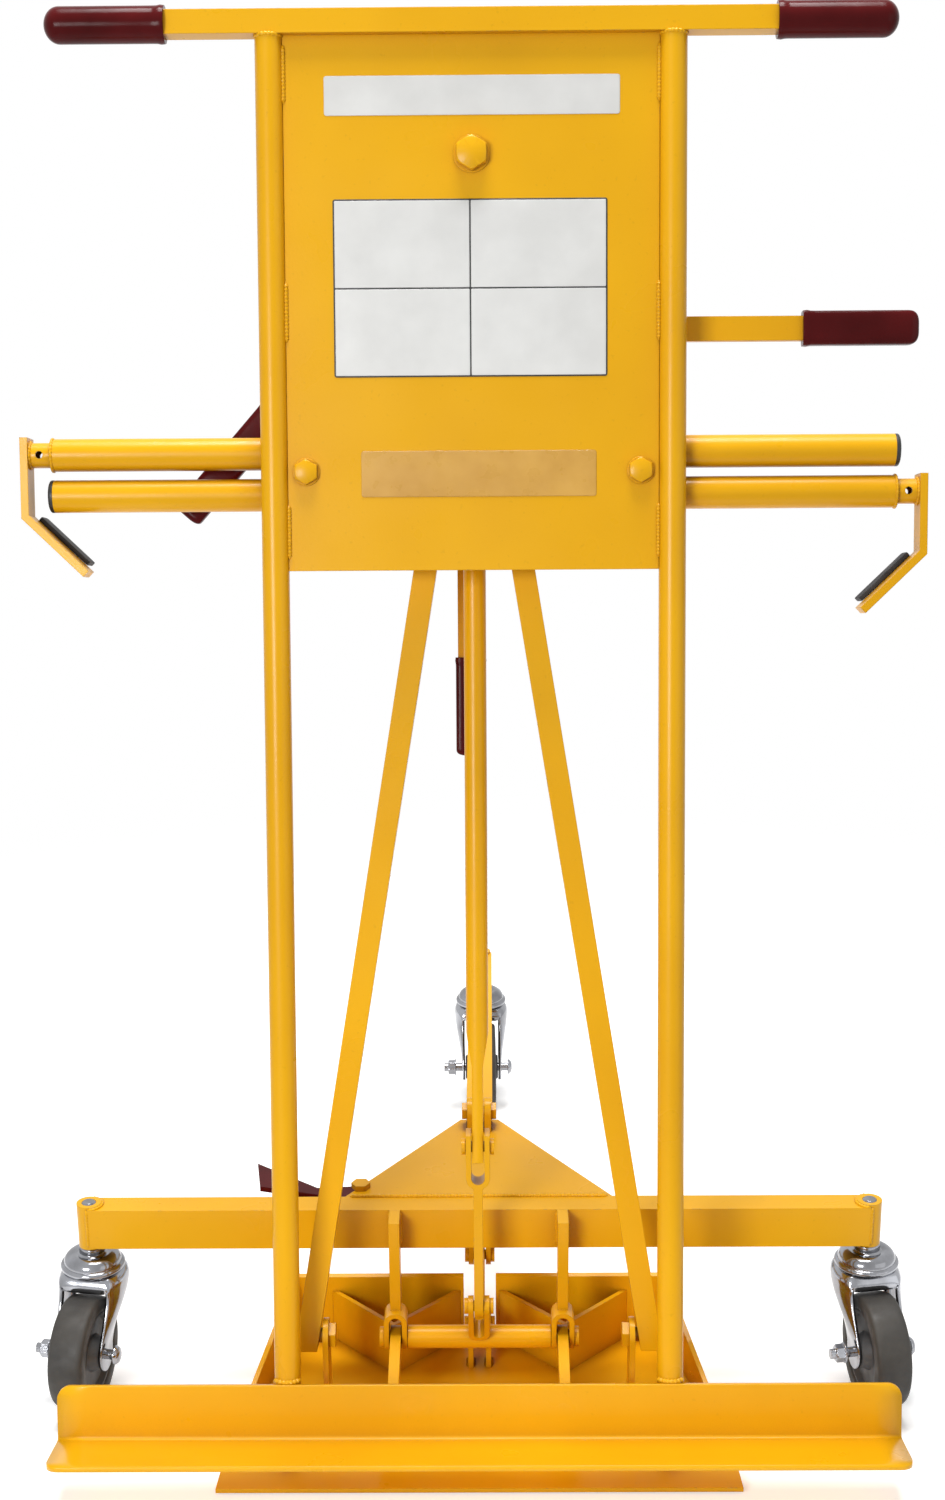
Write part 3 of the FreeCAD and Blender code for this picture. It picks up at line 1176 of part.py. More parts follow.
def hook_spring(sign, level):
    """Close-wound return spring between the collar and the tube's cap, drawn as its outer form."""
    near = "hook_end_x - hook_rod_length - 2 * face_gap - collar_length"
    length = span(sign, "cap_plug + face_gap - hook_tube_length / 2", near)
    outer = bar("x", "spring_diameter", *length, 0, "hook_y", level)
    return cut(outer, bar("x", "spring_diameter - 2 * spring_wire", *length, 0, "hook_y", level))


make_base()
make_caster("left", "-stem_x", "cross_y", -1, "front_swivel")
make_caster("right", "stem_x", "cross_y", 1, "front_swivel")
make_caster("rear", "0", "rear_y", 1, "rear_swivel")
make_leg()
make_release_lever()
make_crank()
make_carriage()
make_rear_link()
make_link_and_rod()
make_mast()
make_lift_lever()
make_side_lever()
make_tilt_lever()
make_frame()
make_hooks()
doc.recompute()

# Every object has to be sound before any file is written.
for thing in doc.Objects:
    if "Invalid" in thing.State or "Error" in thing.State:
        raise RuntimeError(f"{thing.Label} failed: {thing.State}")
for thing in NODES:
    if thing.Shape.isNull() or not thing.Shape.isValid():
        raise RuntimeError(f"{thing.Label} has no sound shape")

os.makedirs("parts", exist_ok=True)
for thing in NODES:
    thing.Shape.exportStep(f"parts/{thing.Label}.step")
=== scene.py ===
# %% [markdown]
# A yellow door dolly, dressed over its CAD frame.
# The dolly is welded steel under yellow enamel, with dipped vinyl grips and zinc plated casters.
# The frame holds the true sizes. This lesson adds what a drawing leaves out: turned grips, pressed
# caster forks, rubber, weld beads, bolt heads, blank labels and a finish for every surface.

# %% Load the frame
import json
import math

import bpy
import numpy as np
from mathutils import Matrix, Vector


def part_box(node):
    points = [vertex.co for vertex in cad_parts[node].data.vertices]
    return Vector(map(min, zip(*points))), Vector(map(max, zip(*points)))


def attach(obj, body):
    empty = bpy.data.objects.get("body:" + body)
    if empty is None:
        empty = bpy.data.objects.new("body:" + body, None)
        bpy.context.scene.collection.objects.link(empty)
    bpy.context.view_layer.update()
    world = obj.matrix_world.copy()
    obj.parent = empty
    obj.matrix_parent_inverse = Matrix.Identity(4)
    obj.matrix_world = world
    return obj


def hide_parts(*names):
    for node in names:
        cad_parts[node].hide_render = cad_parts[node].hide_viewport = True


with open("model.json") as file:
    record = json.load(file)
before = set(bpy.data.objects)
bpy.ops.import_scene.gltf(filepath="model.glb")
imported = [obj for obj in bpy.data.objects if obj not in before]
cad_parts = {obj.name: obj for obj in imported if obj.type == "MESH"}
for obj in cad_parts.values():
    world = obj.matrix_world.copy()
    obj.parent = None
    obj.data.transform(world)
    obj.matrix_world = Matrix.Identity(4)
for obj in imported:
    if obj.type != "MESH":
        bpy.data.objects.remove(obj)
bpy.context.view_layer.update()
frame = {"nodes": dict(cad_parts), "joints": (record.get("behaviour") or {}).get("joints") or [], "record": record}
joints = {joint["name"]: joint for joint in frame["joints"]}

# %% [markdown]
# The mast and the door frame lean back, so their pieces are easier to describe in upright axes
# about the tilt bolts. The joints give that frame: the side tilt turns about the axis that points
# straight back from the plate, and the mast's up is square to it.

# %% The leaning axes of the mast
ACROSS = np.array([1.0, 0.0, 0.0])
BACK = np.array(joints["side_tilt"]["axis"])
UP = np.cross(ACROSS, BACK)
TILT_BOLTS = np.array(joints["mast_tilt"]["pos_m"])
MAST_AXES = np.array([ACROSS, BACK, UP])
WORLD_UP = np.array([0.0, 0.0, 1.0])
WORLD_BACK = np.array([0.0, 1.0, 0.0])


def on_mast(points):
    """Upright mast coordinates to the leaning frame: bolts + x across + y back + z up."""
    return TILT_BOLTS + np.asarray(points, float) @ MAST_AXES


def node_points(node):
    """Every corner of a CAD node's mesh, as an array."""
    mesh = frame["nodes"][node].data
    corners = np.zeros(len(mesh.vertices) * 3)
    mesh.vertices.foreach_get("co", corners)
    return corners.reshape(-1, 3)


def mast_points(node):
    """A node's corners in upright mast coordinates."""
    return (node_points(node) - TILT_BOLTS) @ MAST_AXES.T


def span_of(points):
    """Lowest and highest corner of a set of points."""
    return points.min(axis=0), points.max(axis=0)


print("mast leans back", round(math.degrees(math.asin(UP[1])), 2), "degrees")

# %% [markdown]
# Two kinds of surface make every new piece. A skin runs through rings of points, as a turned or a
# swept form does, and is closed at its ends by a fan. A sheet is an open grid that a Solidify
# modifier thickens, as pressed steel is. Both are worked out as whole arrays.

# %% Skins, sheets and pieces
SHARP_ANGLE = math.radians(38)


def skin(rings, loop=False):
    """Points and faces of a closed skin: quads between rings, and fans at both ends unless it loops.

    Facing times distance from the middle, summed over the quads, tells the outside from the inside.
    """
    count, around = rings.shape[:2]
    index = np.arange(count * around).reshape(count, around)
    if loop:
        index = np.vstack([index, index[:1]])
    ahead = np.roll(index, -1, axis=1)
    quads = np.stack([index[:-1], ahead[:-1], ahead[1:], index[1:]], axis=-1).reshape(-1, 4)
    points = rings.reshape(-1, 3)
    faces = [quads]
    if not loop:
        points = np.vstack([points, rings[0].mean(axis=0), rings[-1].mean(axis=0)])
        pole = np.full(around, count * around)
        faces.append(np.stack([pole, ahead[0], index[0]], axis=1))
        faces.append(np.stack([pole + 1, index[-1], ahead[-1]], axis=1))
    corner = points[quads]
    facing = np.cross(corner[:, 2] - corner[:, 0], corner[:, 3] - corner[:, 1])
    if np.sum(facing * (corner.mean(axis=1) - points.mean(axis=0))) < 0:
        faces = [block[:, ::-1] for block in faces]
    return points, faces


def sheet(points):
    """Points and faces of an open grid: a quad between every four neighbours."""
    rows, columns = points.shape[:2]
    index = np.arange(rows * columns).reshape(rows, columns)
    quads = np.stack([index[:-1, :-1], index[:-1, 1:], index[1:, 1:], index[1:, :-1]], axis=-1)
    return points.reshape(-1, 3), [quads.reshape(-1, 4)]


def make_piece(name, skins, material, body, stands_for=()):
    """One object from several skins, with its finish and the body it rides on."""
    starts = np.cumsum([0] + [len(points) for points, _ in skins])
    faces = []
    for (_, blocks), start in zip(skins, starts):
        for block in blocks:
            faces += (block + start).tolist()
    mesh = bpy.data.meshes.new(name)
    mesh.from_pydata(np.vstack([points for points, _ in skins]).tolist(), [], faces)
    mesh.polygons.foreach_set("use_smooth", np.ones(len(mesh.polygons), dtype=bool))
    mesh.set_sharp_from_angle(angle=SHARP_ANGLE)
    mesh.materials.append(material)
    piece = bpy.data.objects.new(name, mesh)
    bpy.context.scene.collection.objects.link(piece)
    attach(piece, body)
    if stands_for:
        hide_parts(*stands_for)
    return piece


def thicken(piece, gauge):
    """Solidify modifier that gives a sheet its gauge, grown to the inner side."""
    solid = piece.modifiers.new("gauge", "SOLIDIFY")
    solid.thickness = gauge
    solid.offset = -1.0


print("edges over", round(math.degrees(SHARP_ANGLE)), "degrees stay sharp")

# %% [markdown]
# Round grips, tyres, raceways, washers and plugs are turned or moulded round an axis. Each could be a
# stock cylinder with cuts, but one profile of radius and height, carried round a circle, holds the
# whole shape in a few numbers.

# %% Rings about an axis
def square_to(axis):
    """Two unit vectors square to an axis and to each other, by two cross products."""
    axis = np.asarray(axis, float) / np.linalg.norm(axis)
    helper = ACROSS if abs(axis[0]) < 0.9 else WORLD_UP
    side = np.cross(axis, helper)
    side /= np.linalg.norm(side)
    return side, np.cross(axis, side)


def circle_about(axis, angle):
    """Unit vectors round an axis: cosine of the angle times one side, sine times the other."""
    side, across = square_to(axis)
    return np.outer(np.cos(angle), side) + np.outer(np.sin(angle), across)


def turned(profile, origin, axis, around=48):
    """Rings of a turned form: origin + height along the axis + radius round it."""
    profile = np.asarray(profile, float)
    axis = np.asarray(axis, float) / np.linalg.norm(axis)
    circle = circle_about(axis, np.linspace(0, 2 * np.pi, around, endpoint=False))
    heights = profile[:, 1, None, None] * axis
    return np.asarray(origin, float) + heights + profile[:, 0, None, None] * circle


print("a ring has", turned([(1.0, 0.0)], TILT_BOLTS, UP).shape[1], "points")

# %% [markdown]
# Finishes come next, because most CAD nodes keep their mesh and only need a better surface. Each is a
# short node tree on Object coordinates. It could be linked by hand in the node editor, but a few small
# helpers let a finish read like a recipe.

# %% Small helpers for shader nodes
def feed(tree, socket, value):
    """Link an output to a socket, or set the socket's own value."""
    if isinstance(value, bpy.types.NodeSocket):
        tree.links.new(value, socket)
    else:
        socket.default_value = value


def add(tree, kind, **settings):
    """New shader node; each setting is a property of the node or feeds the socket of that name."""
    node = tree.nodes.new(kind)
    for name, value in settings.items():
        if hasattr(node, name):
            setattr(node, name, value)
        else:
            feed(tree, node.inputs[name.replace("_", " ")], value)
    return node


def blank(name):
    """Material with an empty tree, its output node and Object coordinates."""
    material = bpy.data.materials.new(name)
    material.use_nodes = True
    tree = material.node_tree
    tree.nodes.clear()
    output = tree.nodes.new("ShaderNodeOutputMaterial")
    place = add(tree, "ShaderNodeTexCoord").outputs["Object"]
    return material, tree, output, place


def grey(value):
    """Colour with three equal parts."""
    return (value, value, value, 1)


def coated(tree, output, **sockets):
    """Principled shader with these sockets, linked to the material's output."""
    shader = add(tree, "ShaderNodeBsdfPrincipled", **sockets)
    tree.links.new(shader.outputs["BSDF"], output.inputs["Surface"])


print("tree helpers", [helper.__name__ for helper in (feed, add, blank, grey, coated)])

# %% [markdown]
# Paint, rubber and plate are never quite even. Cloudy noise, a ramp that turns it into a colour, a
# mixture and a bump give each its own unevenness. A Bevel node rounds the sharp CAD edges in the
# light, and the difference between its normal and the true one marks where paint wears first.

# %% Clouds, mixtures and worn edges
def noise(tree, place, scale, detail=3.0):
    """Cloudy value between 0 and 1; the scale is about the number of lumps in a metre."""
    return add(tree, "ShaderNodeTexNoise", Vector=place, Scale=scale, Detail=detail).outputs["Fac"]


def ramp(tree, value, low, high, start=grey(0), end=grey(1)):
    """Colour that goes from start to end while a value goes from low to high."""
    node = add(tree, "ShaderNodeValToRGB", Fac=value)
    node.color_ramp.elements[0].position = low
    node.color_ramp.elements[0].color = start
    node.color_ramp.elements[1].position = high
    node.color_ramp.elements[1].color = end
    return node.outputs["Color"]


def mixed(tree, factor, first, second):
    """Colour between two colours or colour sockets; sockets 6, 7 and 2 are the colour ones."""
    node = tree.nodes.new("ShaderNodeMix")
    node.data_type = "RGBA"
    feed(tree, node.inputs[0], factor)
    feed(tree, node.inputs[6], first)
    feed(tree, node.inputs[7], second)
    return node.outputs[2]


def math_node(tree, operation, first, second):
    """Product, difference or larger one of two values."""
    node = tree.nodes.new("ShaderNodeMath")
    node.operation = operation
    feed(tree, node.inputs[0], first)
    feed(tree, node.inputs[1], second)
    return node.outputs[0]


def bump(tree, height, strength, distance, normal):
    """Normal tilted by the slope of a height, on top of another normal."""
    node = add(tree, "ShaderNodeBump", Height=height, Strength=strength, Distance=distance, Normal=normal)
    return node.outputs["Normal"]


def edge_wear(tree, radius):
    """Softened normal of a sharp edge, and 1 less its dot with the true normal: 0 away from edges."""
    soft = add(tree, "ShaderNodeBevel", samples=4, Radius=radius).outputs["Normal"]
    dot = add(tree, "ShaderNodeVectorMath", operation="DOT_PRODUCT")
    feed(tree, dot.inputs[0], soft)
    feed(tree, dot.inputs[1], add(tree, "ShaderNodeNewGeometry").outputs["Normal"])
    return soft, math_node(tree, "SUBTRACT", 1.0, dot.outputs["Value"])


print("pattern helpers", [helper.__name__ for helper in (noise, ramp, mixed, math_node, bump, edge_wear)])

# %% [markdown]
# Yellow enamel: sprayed thick, with a faint orange peel, a drift of tone from coat to coat and small
# chips on the edges that knock against doors and floors. An image could hold all this, but noise on
# Object coordinates needs no unwrapping and stays sharp in close views.

# %% Yellow enamel
YELLOW_DEEP = (0.82, 0.405, 0.003, 1)
YELLOW_LIGHT = (0.92, 0.475, 0.004, 1)
# Dark tone for the small grime specks, and for the painted shade in corners.
GRIME_AND_SHADE = (0.36, 0.15, 0.004, 1)
BARE_STEEL = (0.19, 0.17, 0.15, 1)
EDGE_ROUND = 0.0011
SHADE_REACH = 0.028


def yellow_enamel():
    """Drifting yellow with painted shade in its corners from ambient occlusion, grime specks and chipped edges."""
    material, tree, output, place = blank("yellow_enamel")
    soft, edge = edge_wear(tree, EDGE_ROUND)
    tone = ramp(tree, noise(tree, place, 5.0), 0.35, 0.68, YELLOW_DEEP, YELLOW_LIGHT)
    specks = ramp(tree, noise(tree, place, 260.0), 0.66, 0.72)
    chips = ramp(tree, noise(tree, place, 70.0), 0.60, 0.66)
    worn = math_node(tree, "MULTIPLY", ramp(tree, edge, 0.10, 0.30), chips)
    # Painted shade: ambient occlusion pulls the yellow toward the dark tone in corners and recesses, where shade
    # falls.
    open_air = add(tree, "ShaderNodeAmbientOcclusion", samples=4, Distance=SHADE_REACH).outputs["AO"]
    corner = ramp(tree, open_air, 0.35, 0.85, grey(0.75), grey(0))
    color = mixed(tree, corner, tone, GRIME_AND_SHADE)
    color = mixed(tree, math_node(tree, "MULTIPLY", specks, 0.10), color, GRIME_AND_SHADE)
    color = mixed(tree, worn, color, BARE_STEEL)
    gloss = ramp(tree, noise(tree, place, 18.0), 0.3, 0.7, grey(0.26), grey(0.38))
    peel = bump(tree, noise(tree, place, 420.0, 2.0), 0.10, 0.0006, soft)
    coated(tree, output, Base_Color=color, Roughness=gloss, Normal=peel, Coat_Weight=0.06,
           Coat_Roughness=0.10, Specular_IOR_Level=0.22)
    return material


print("yellow from", YELLOW_DEEP[:3], "to", YELLOW_LIGHT[:3])

# %% [markdown]
# The other finishes: oxblood vinyl is dipped and glossy, zinc plate is bright with brushed cloudiness,
# tyres are matt with dust in their pores, pads are dull rubber and caps are moulded plastic. Each
# could have a tree of its own, but plates differ only in tone and gloss, and rubbers only in tone and
# grain, so one function makes each family.

# %% Vinyl, zinc, rubber and plastic
VINYL_DEEP = (0.066, 0.0035, 0.004, 1)
VINYL_LIGHT = (0.098, 0.006, 0.007, 1)


def dipped_vinyl():
    """Dark red with slow drips; a low specular level keeps the white surround from washing it out."""
    material, tree, output, place = blank("dipped_vinyl")
    soft, _ = edge_wear(tree, EDGE_ROUND)
    tone = ramp(tree, noise(tree, place, 22.0), 0.3, 0.7, VINYL_DEEP, VINYL_LIGHT)
    gloss = ramp(tree, noise(tree, place, 60.0), 0.3, 0.7, grey(0.12), grey(0.22))
    drips = bump(tree, noise(tree, place, 55.0, 1.0), 0.12, 0.0012, soft)
    coated(tree, output, Base_Color=tone, Roughness=gloss, Normal=drips, Specular_IOR_Level=0.08)
    return material


def plated(name, dark, light, smooth, rough):
    """Bright plated steel: metal with a cloudy tone and fine brushed lines."""
    material, tree, output, place = blank(name)
    soft, _ = edge_wear(tree, EDGE_ROUND * 0.7)
    tone = ramp(tree, noise(tree, place, 34.0, 4.0), 0.3, 0.7, dark, light)
    stretched = add(tree, "ShaderNodeMapping", Vector=place, Scale=(1.0, 1.0, 14.0)).outputs["Vector"]
    lines = noise(tree, stretched, 120.0, 2.0)
    gloss = ramp(tree, lines, 0.3, 0.7, grey(smooth), grey(rough))
    brushed = bump(tree, lines, 0.05, 0.0004, soft)
    coated(tree, output, Base_Color=tone, Roughness=gloss, Normal=brushed, Metallic=1.0)
    return material


def matt(name, dark, light, roughness, grain, depth):
    """Rubber or moulded plastic: a dusty tone over a fine grain."""
    material, tree, output, place = blank(name)
    soft, _ = edge_wear(tree, EDGE_ROUND)
    tone = ramp(tree, noise(tree, place, 28.0, 5.0), 0.32, 0.72, dark, light)
    rough = ramp(tree, noise(tree, place, 80.0), 0.3, 0.7, grey(roughness - 0.1), grey(roughness + 0.1))
    pores = bump(tree, noise(tree, place, grain, 2.0), 0.25, depth, soft)
    coated(tree, output, Base_Color=tone, Roughness=rough, Normal=pores)
    return material


FINISH = {
    "yellow_paint": yellow_enamel(),
    "grip_vinyl": dipped_vinyl(),
    # The zinc's dark grey is partly the plate's own tone and partly a painted reflection of a dark room around it.
    "zinc_plate": plated("zinc_plate", (0.20, 0.20, 0.21, 1), (0.40, 0.41, 0.44, 1), 0.08, 0.20),
    "spring_steel": plated("spring_steel", (0.30, 0.30, 0.31, 1), (0.45, 0.45, 0.46, 1), 0.30, 0.45),
    "wheel_rubber": matt("wheel_rubber", (0.018, 0.016, 0.014, 1), (0.044, 0.039, 0.032, 1), 0.60, 900.0,
                         0.0004),
    "pad_rubber": matt("pad_rubber", (0.014, 0.013, 0.014, 1), (0.034, 0.031, 0.032, 1), 0.70, 700.0,
                       0.0005),
    "cap_plastic": matt("cap_plastic", grey(0.008), grey(0.016), 0.45, 500.0, 0.0002),
    "core": matt("wheel_core", (0.040, 0.039, 0.040, 1), (0.075, 0.073, 0.072, 1), 0.55, 600.0, 0.0003),
}
SLOT_OF = {part["node"]: part["material_slot"] for part in frame["record"]["subparts"]}
for name, node in frame["nodes"].items():
    node.data.materials.clear()
    node.data.materials.append(FINISH[SLOT_OF[name]])
print("finishes", sorted(FINISH))

# %% [markdown]
# Grips: thick vinyl, dipped over the bar ends, so each has a rolled mouth and a well rounded nose.
# A handlebar grip could be a cylinder with a bevel, but a turned profile gives the mouth's bead and
# the nose in one line: the radius stays level and then falls along a quarter of an ellipse.

# %% Round grips on the handlebar
GRIP_STATIONS = 28
NOSE_STATIONS = 14
NOSE_SHARE = 0.85
BEAD_PLACE = 0.03
BEAD_SWELL = 0.05


def rolled_mouth(along):
    """Share of the radius along a grip: 1, with a bell curve near the mouth for the bead."""
    return 1 + BEAD_SWELL * np.exp(-((along - BEAD_PLACE) / BEAD_PLACE) ** 2)


def round_grip(points):
    """Turned grip about X through a set of corner points; its nose is a quarter of an ellipse."""
    low, high = span_of(points)
    radius = (high[2] - low[2]) / 2
    sign = 1 if low[0] > 0 else -1
    mouth, tip = (low[0], high[0]) if sign > 0 else (high[0], low[0])
    nose = NOSE_SHARE * radius
    level = abs(tip - mouth) - nose
    along = np.linspace(0, 1, GRIP_STATIONS)
    turn = np.linspace(0, np.pi / 2, NOSE_STATIONS)[1:-1]
    out = radius * np.concatenate([rolled_mouth(along), np.cos(turn)])
    height = np.concatenate([along * level, level + nose * np.sin(turn)])
    centre = on_mast([mouth, (low[1] + high[1]) / 2, (low[2] + high[2]) / 2])
    return turned(np.stack([out, height], axis=1), centre, ACROSS * sign, around=40)


ends = mast_points("handlebar_grips")
grips = [skin(round_grip(ends[ends[:, 0] * sign > 0])) for sign in (-1, 1)]
make_piece("dipped_bar_grips", grips, FINISH["grip_vinyl"], "door_frame", ("handlebar_grips",))
print("bar grips", len(grips))

# %% [markdown]
# The lever grips are dipped over flat bar, so their section is a flat oval. A superellipse is drawn
# in the two short directions of each CAD grip and carried along its length, with a short nose, because
# the bar ends close behind it. The side grip is thicker than the others, so its nose can be rounder.

# %% Flat grips on the hand levers
OVAL_POWER = 5.0
NOSE_POWER = 3.0
SHORT_NOSE = 0.006
ROUND_NOSE = 0.011
LEVER_GRIPS = (("lift_grip", "lift_lever", SHORT_NOSE), ("side_grip", "side_lever", ROUND_NOSE),
               ("tilt_grip", "tilt_lever", SHORT_NOSE))


def long_axes(points):
    """Middle of a set of points, its directions from the longest to the shortest, and its half sizes."""
    points = np.unique(np.round(points, 6), axis=0)
    middle = (points.min(axis=0) + points.max(axis=0)) / 2
    spread = np.linalg.svd(points - points.mean(axis=0), full_matrices=False)[2]
    lengths = (points - middle) @ spread.T
    centre = middle + ((lengths.max(axis=0) + lengths.min(axis=0)) / 2) @ spread
    halves = (lengths.max(axis=0) - lengths.min(axis=0)) / 2
    return centre, spread, halves


def rounded_box(half_width, half_depth, power, count=40):
    """Superellipse: the powers of cosine and sine make it flat on its sides and round at its corners."""
    angle = np.linspace(0, 2 * np.pi, count, endpoint=False)
    c, s = np.cos(angle), np.sin(angle)
    wide = half_width * np.sign(c) * np.abs(c) ** (2 / power)
    deep = half_depth * np.sign(s) * np.abs(s) ** (2 / power)
    return wide, deep


def flat_grip(node, pivot, nose):
    """Oval section along a CAD grip's length; the nose shrinks as a superellipse away from the pivot."""
    centre, axes, halves = long_axes(node_points(node))
    away = axes[0] if (centre - pivot) @ axes[0] > 0 else -axes[0]
    wide, thin = rounded_box(halves[1], halves[2], OVAL_POWER, count=36)
    level = 2 * halves[0] - nose
    along = np.linspace(0, 1, GRIP_STATIONS)
    past = np.sin(np.linspace(0, np.pi / 2, NOSE_STATIONS))[1:-1]
    share = np.concatenate([rolled_mouth(along), (1 - past ** NOSE_POWER) ** (1 / NOSE_POWER)])
    place = np.concatenate([along * level, level + nose * past]) - halves[0]
    section = wide[:, None] * axes[1] + thin[:, None] * axes[2]
    return centre + place[:, None, None] * away + share[:, None, None] * section


for node, body, nose in LEVER_GRIPS:
    rings = flat_grip(node, np.array(joints[body + "_turn"]["pos_m"]), nose)
    make_piece("dipped_" + node, [skin(rings)], FINISH["grip_vinyl"], body, (node,))
print("lever grips", len(LEVER_GRIPS))

# %% [markdown]
# Caster wheels: a tyre of hard grey rubber moulded on a core. A torus would be too round and a
# cylinder too sharp, so the tyre is a closed ring whose section is a superellipse, with a flat tread
# and rounded shoulders. The core is a turned dish with a raised hub, sunk a little behind the tyre's
# sides.

# %% Tyres and cores
CASTERS = ("left", "right", "rear")
TYRE_POWER = 4.5
TREAD_HALF = 0.03175 / 2
BORE_SHARE = 0.10
HUB_SHARE = 0.27
WEB_SHARE = 0.34
RIM_SHARE = 0.70
DISH_SHARE = 0.62
LIP_SHARE = 0.90
CORE_EASE = 0.001


def wheel_place(side):
    """Centre, axle direction, radius and half width of a caster wheel."""
    centre = np.array(joints[side + "_wheel_roll"]["pos_m"])
    axle = np.array(joints[side + "_wheel_roll"]["axis"])
    along = (node_points(side + "_caster_wheel") - centre) @ axle
    return centre, axle, centre[2], np.abs(along).max()


def tyre_profile(radius):
    """Superellipse section of the tyre: thickness to the rim, width to the tread's sides."""
    deep = radius * (1 - RIM_SHARE) / 2
    out, wide = rounded_box(deep, TREAD_HALF, TYRE_POWER)
    return np.stack([radius - deep + out, wide], axis=1)


def core_profile(radius, hub_half):
    """Half section of the core: bore, hub face, dish and rim on one side and back on the other."""
    bore, hub, web, rim = radius * np.array([BORE_SHARE, HUB_SHARE, WEB_SHARE, RIM_SHARE])
    dish, lip = TREAD_HALF * DISH_SHARE, TREAD_HALF * LIP_SHARE
    near = np.array([(bore, hub_half), (hub - CORE_EASE, hub_half), (hub, hub_half - CORE_EASE), (web, dish),
                     (rim - 4 * CORE_EASE, dish), (rim - 1.5 * CORE_EASE, lip), (rim + CORE_EASE, lip)])
    return np.vstack([near, near[::-1] * [1, -1]])


for side in CASTERS:
    centre, axle, radius, hub_half = wheel_place(side)
    tyre = skin(turned(tyre_profile(radius), centre, axle, around=72), loop=True)
    core = skin(turned(core_profile(radius, hub_half), centre, axle, around=56), loop=True)
    make_piece(side + "_tyre", [tyre], FINISH["wheel_rubber"], side + "_wheel",
               (side + "_caster_wheel",))
    make_piece(side + "_core", [core], FINISH["core"], side + "_wheel")
print("wheels", len(CASTERS), "radius", round(radius, 4))

# %% [markdown]
# Caster forks: one sheet of steel pressed to a bridge over the wheel and then plated. It could be a
# box with cuts, but a grid keeps the soft bends of the press. One parameter of the grid runs up a leg,
# over the crown and down the other leg, and this run comes first.

# %% Run of the fork's sheet
SHOULDER = 0.010
CROWN_HALF = 0.0308
CROWN_DEPTH = 0.9
LEAST_SQUARE = 1e-8


def smooth(share):
    """Smooth step: three times the square less twice the cube."""
    share = np.clip(share, 0, 1)
    return share * share * (3 - 2 * share)


def fork_run(radius, crown_z, eye):
    """Half of the sheet's run: a half round eye at the axle, the leg, the shoulder's arc and the crown.

    It gives the distance out, the height, the half depth, the fold of the edges, and the blend, a
    smooth step from 0 at the axle to 1 at the shoulder, by which the depth grows.
    """
    bend_z = crown_z - SHOULDER
    foot_z = radius - eye * np.cos(np.linspace(0.0, np.pi / 2, 10))
    leg_z = np.concatenate([foot_z, np.linspace(radius, bend_z, 22)[1:]])
    turn = np.linspace(0, np.pi / 2, 8)[1:]
    arc_out = CROWN_HALF - SHOULDER + SHOULDER * np.cos(turn)
    top_out = np.linspace(CROWN_HALF - SHOULDER, 0, 6)[1:]
    level = np.ones(len(top_out))
    out = np.concatenate([np.full(len(leg_z), CROWN_HALF), arc_out, top_out])
    high = np.concatenate([leg_z, bend_z + SHOULDER * np.sin(turn), crown_z * level])
    fold = np.concatenate([np.zeros(len(leg_z)), np.sin(turn), level])
    blend = smooth((high - radius) / (bend_z - radius))
    eye_half = np.sqrt(np.maximum(eye ** 2 - np.minimum(high - radius, 0) ** 2, LEAST_SQUARE))
    half = eye_half + (CROWN_DEPTH * CROWN_HALF - eye) * blend
    return out, high, half, fold, blend


print("crown", round(2000 * CROWN_HALF, 1), "mm wide, bent to a radius of", round(1000 * SHOULDER, 1), "mm")

# %% [markdown]
# The grid's other parameter goes from the fork's rear edge to its front edge. Seen from above the
# crown is nearly round, so the legs belly out below it, sweep to the axle and flatten there. The
# crown's front and rear edges turn down. Solidify gives the gauge.

# %% Pressed forks
FORK_GAUGE = 0.0032
FORK_EASE = 0.0004
APRON = 0.013
BELLY = 0.72
LIP_START = 0.7
LIP_REACH = 0.9
FLAT = np.array([1.0, 1.0, 0.0])


def there_and_back(run):
    """A run up one leg to the middle of the crown, and its mirror image down the other."""
    return np.concatenate([run, run[-2::-1]])


def fork_grid(side, leg_half, crown_z, eye, columns=21):
    """Grid of the fork about its stem: out along the axle, depth along the trail, and height.

    The legs belly out by the root of 1 less a square, and the folded edges drop by 1 less a cosine.
    """
    centre, _, radius, _ = wheel_place(side)
    stem = np.array(joints[side + "_caster_swivel"]["pos_m"])
    trail = (centre - stem) * FLAT
    reach = np.linalg.norm(trail)
    trail = trail / reach
    axle = np.cross(trail, WORLD_UP)
    out, *others = fork_run(radius, crown_z, eye)
    out = np.concatenate([out, -out[-2::-1]])[:, None]
    high, half, fold, blend = [there_and_back(run)[:, None] for run in others]
    t = np.linspace(-1, 1, columns)
    lip = np.clip((np.abs(t) - LIP_START) / (1 - LIP_START), 0, 1) * np.pi / 2
    spread = np.sign(t) * np.minimum(np.abs(t), LIP_START + (1 - LIP_START) * np.sin(lip) * LIP_REACH)
    belly = np.sqrt(1 - (BELLY * t) ** 2)
    narrow = leg_half / CROWN_HALF
    across = out * (narrow + (belly - narrow) * blend)
    along = reach * (1 - blend) + half * spread
    level = high - APRON * fold * (1 - np.cos(lip))
    return stem * FLAT + across[..., None] * axle + along[..., None] * trail + level[..., None] * WORLD_UP


for side in CASTERS:
    centre, axle, radius, _ = wheel_place(side)
    corners = node_points(side + "_caster_fork")
    below_axle = corners[corners[:, 2] < radius]
    leg_half = np.abs((below_axle - centre) @ axle).max() - FORK_EASE
    grid = fork_grid(side, leg_half, corners[:, 2].max(), radius - corners[:, 2].min())
    fork = make_piece(side + "_pressed_fork", [sheet(grid)], FINISH["zinc_plate"], side + "_swivel",
                      (side + "_caster_fork",))
    thicken(fork, FORK_GAUGE)
    print(side, "fork", grid.shape)

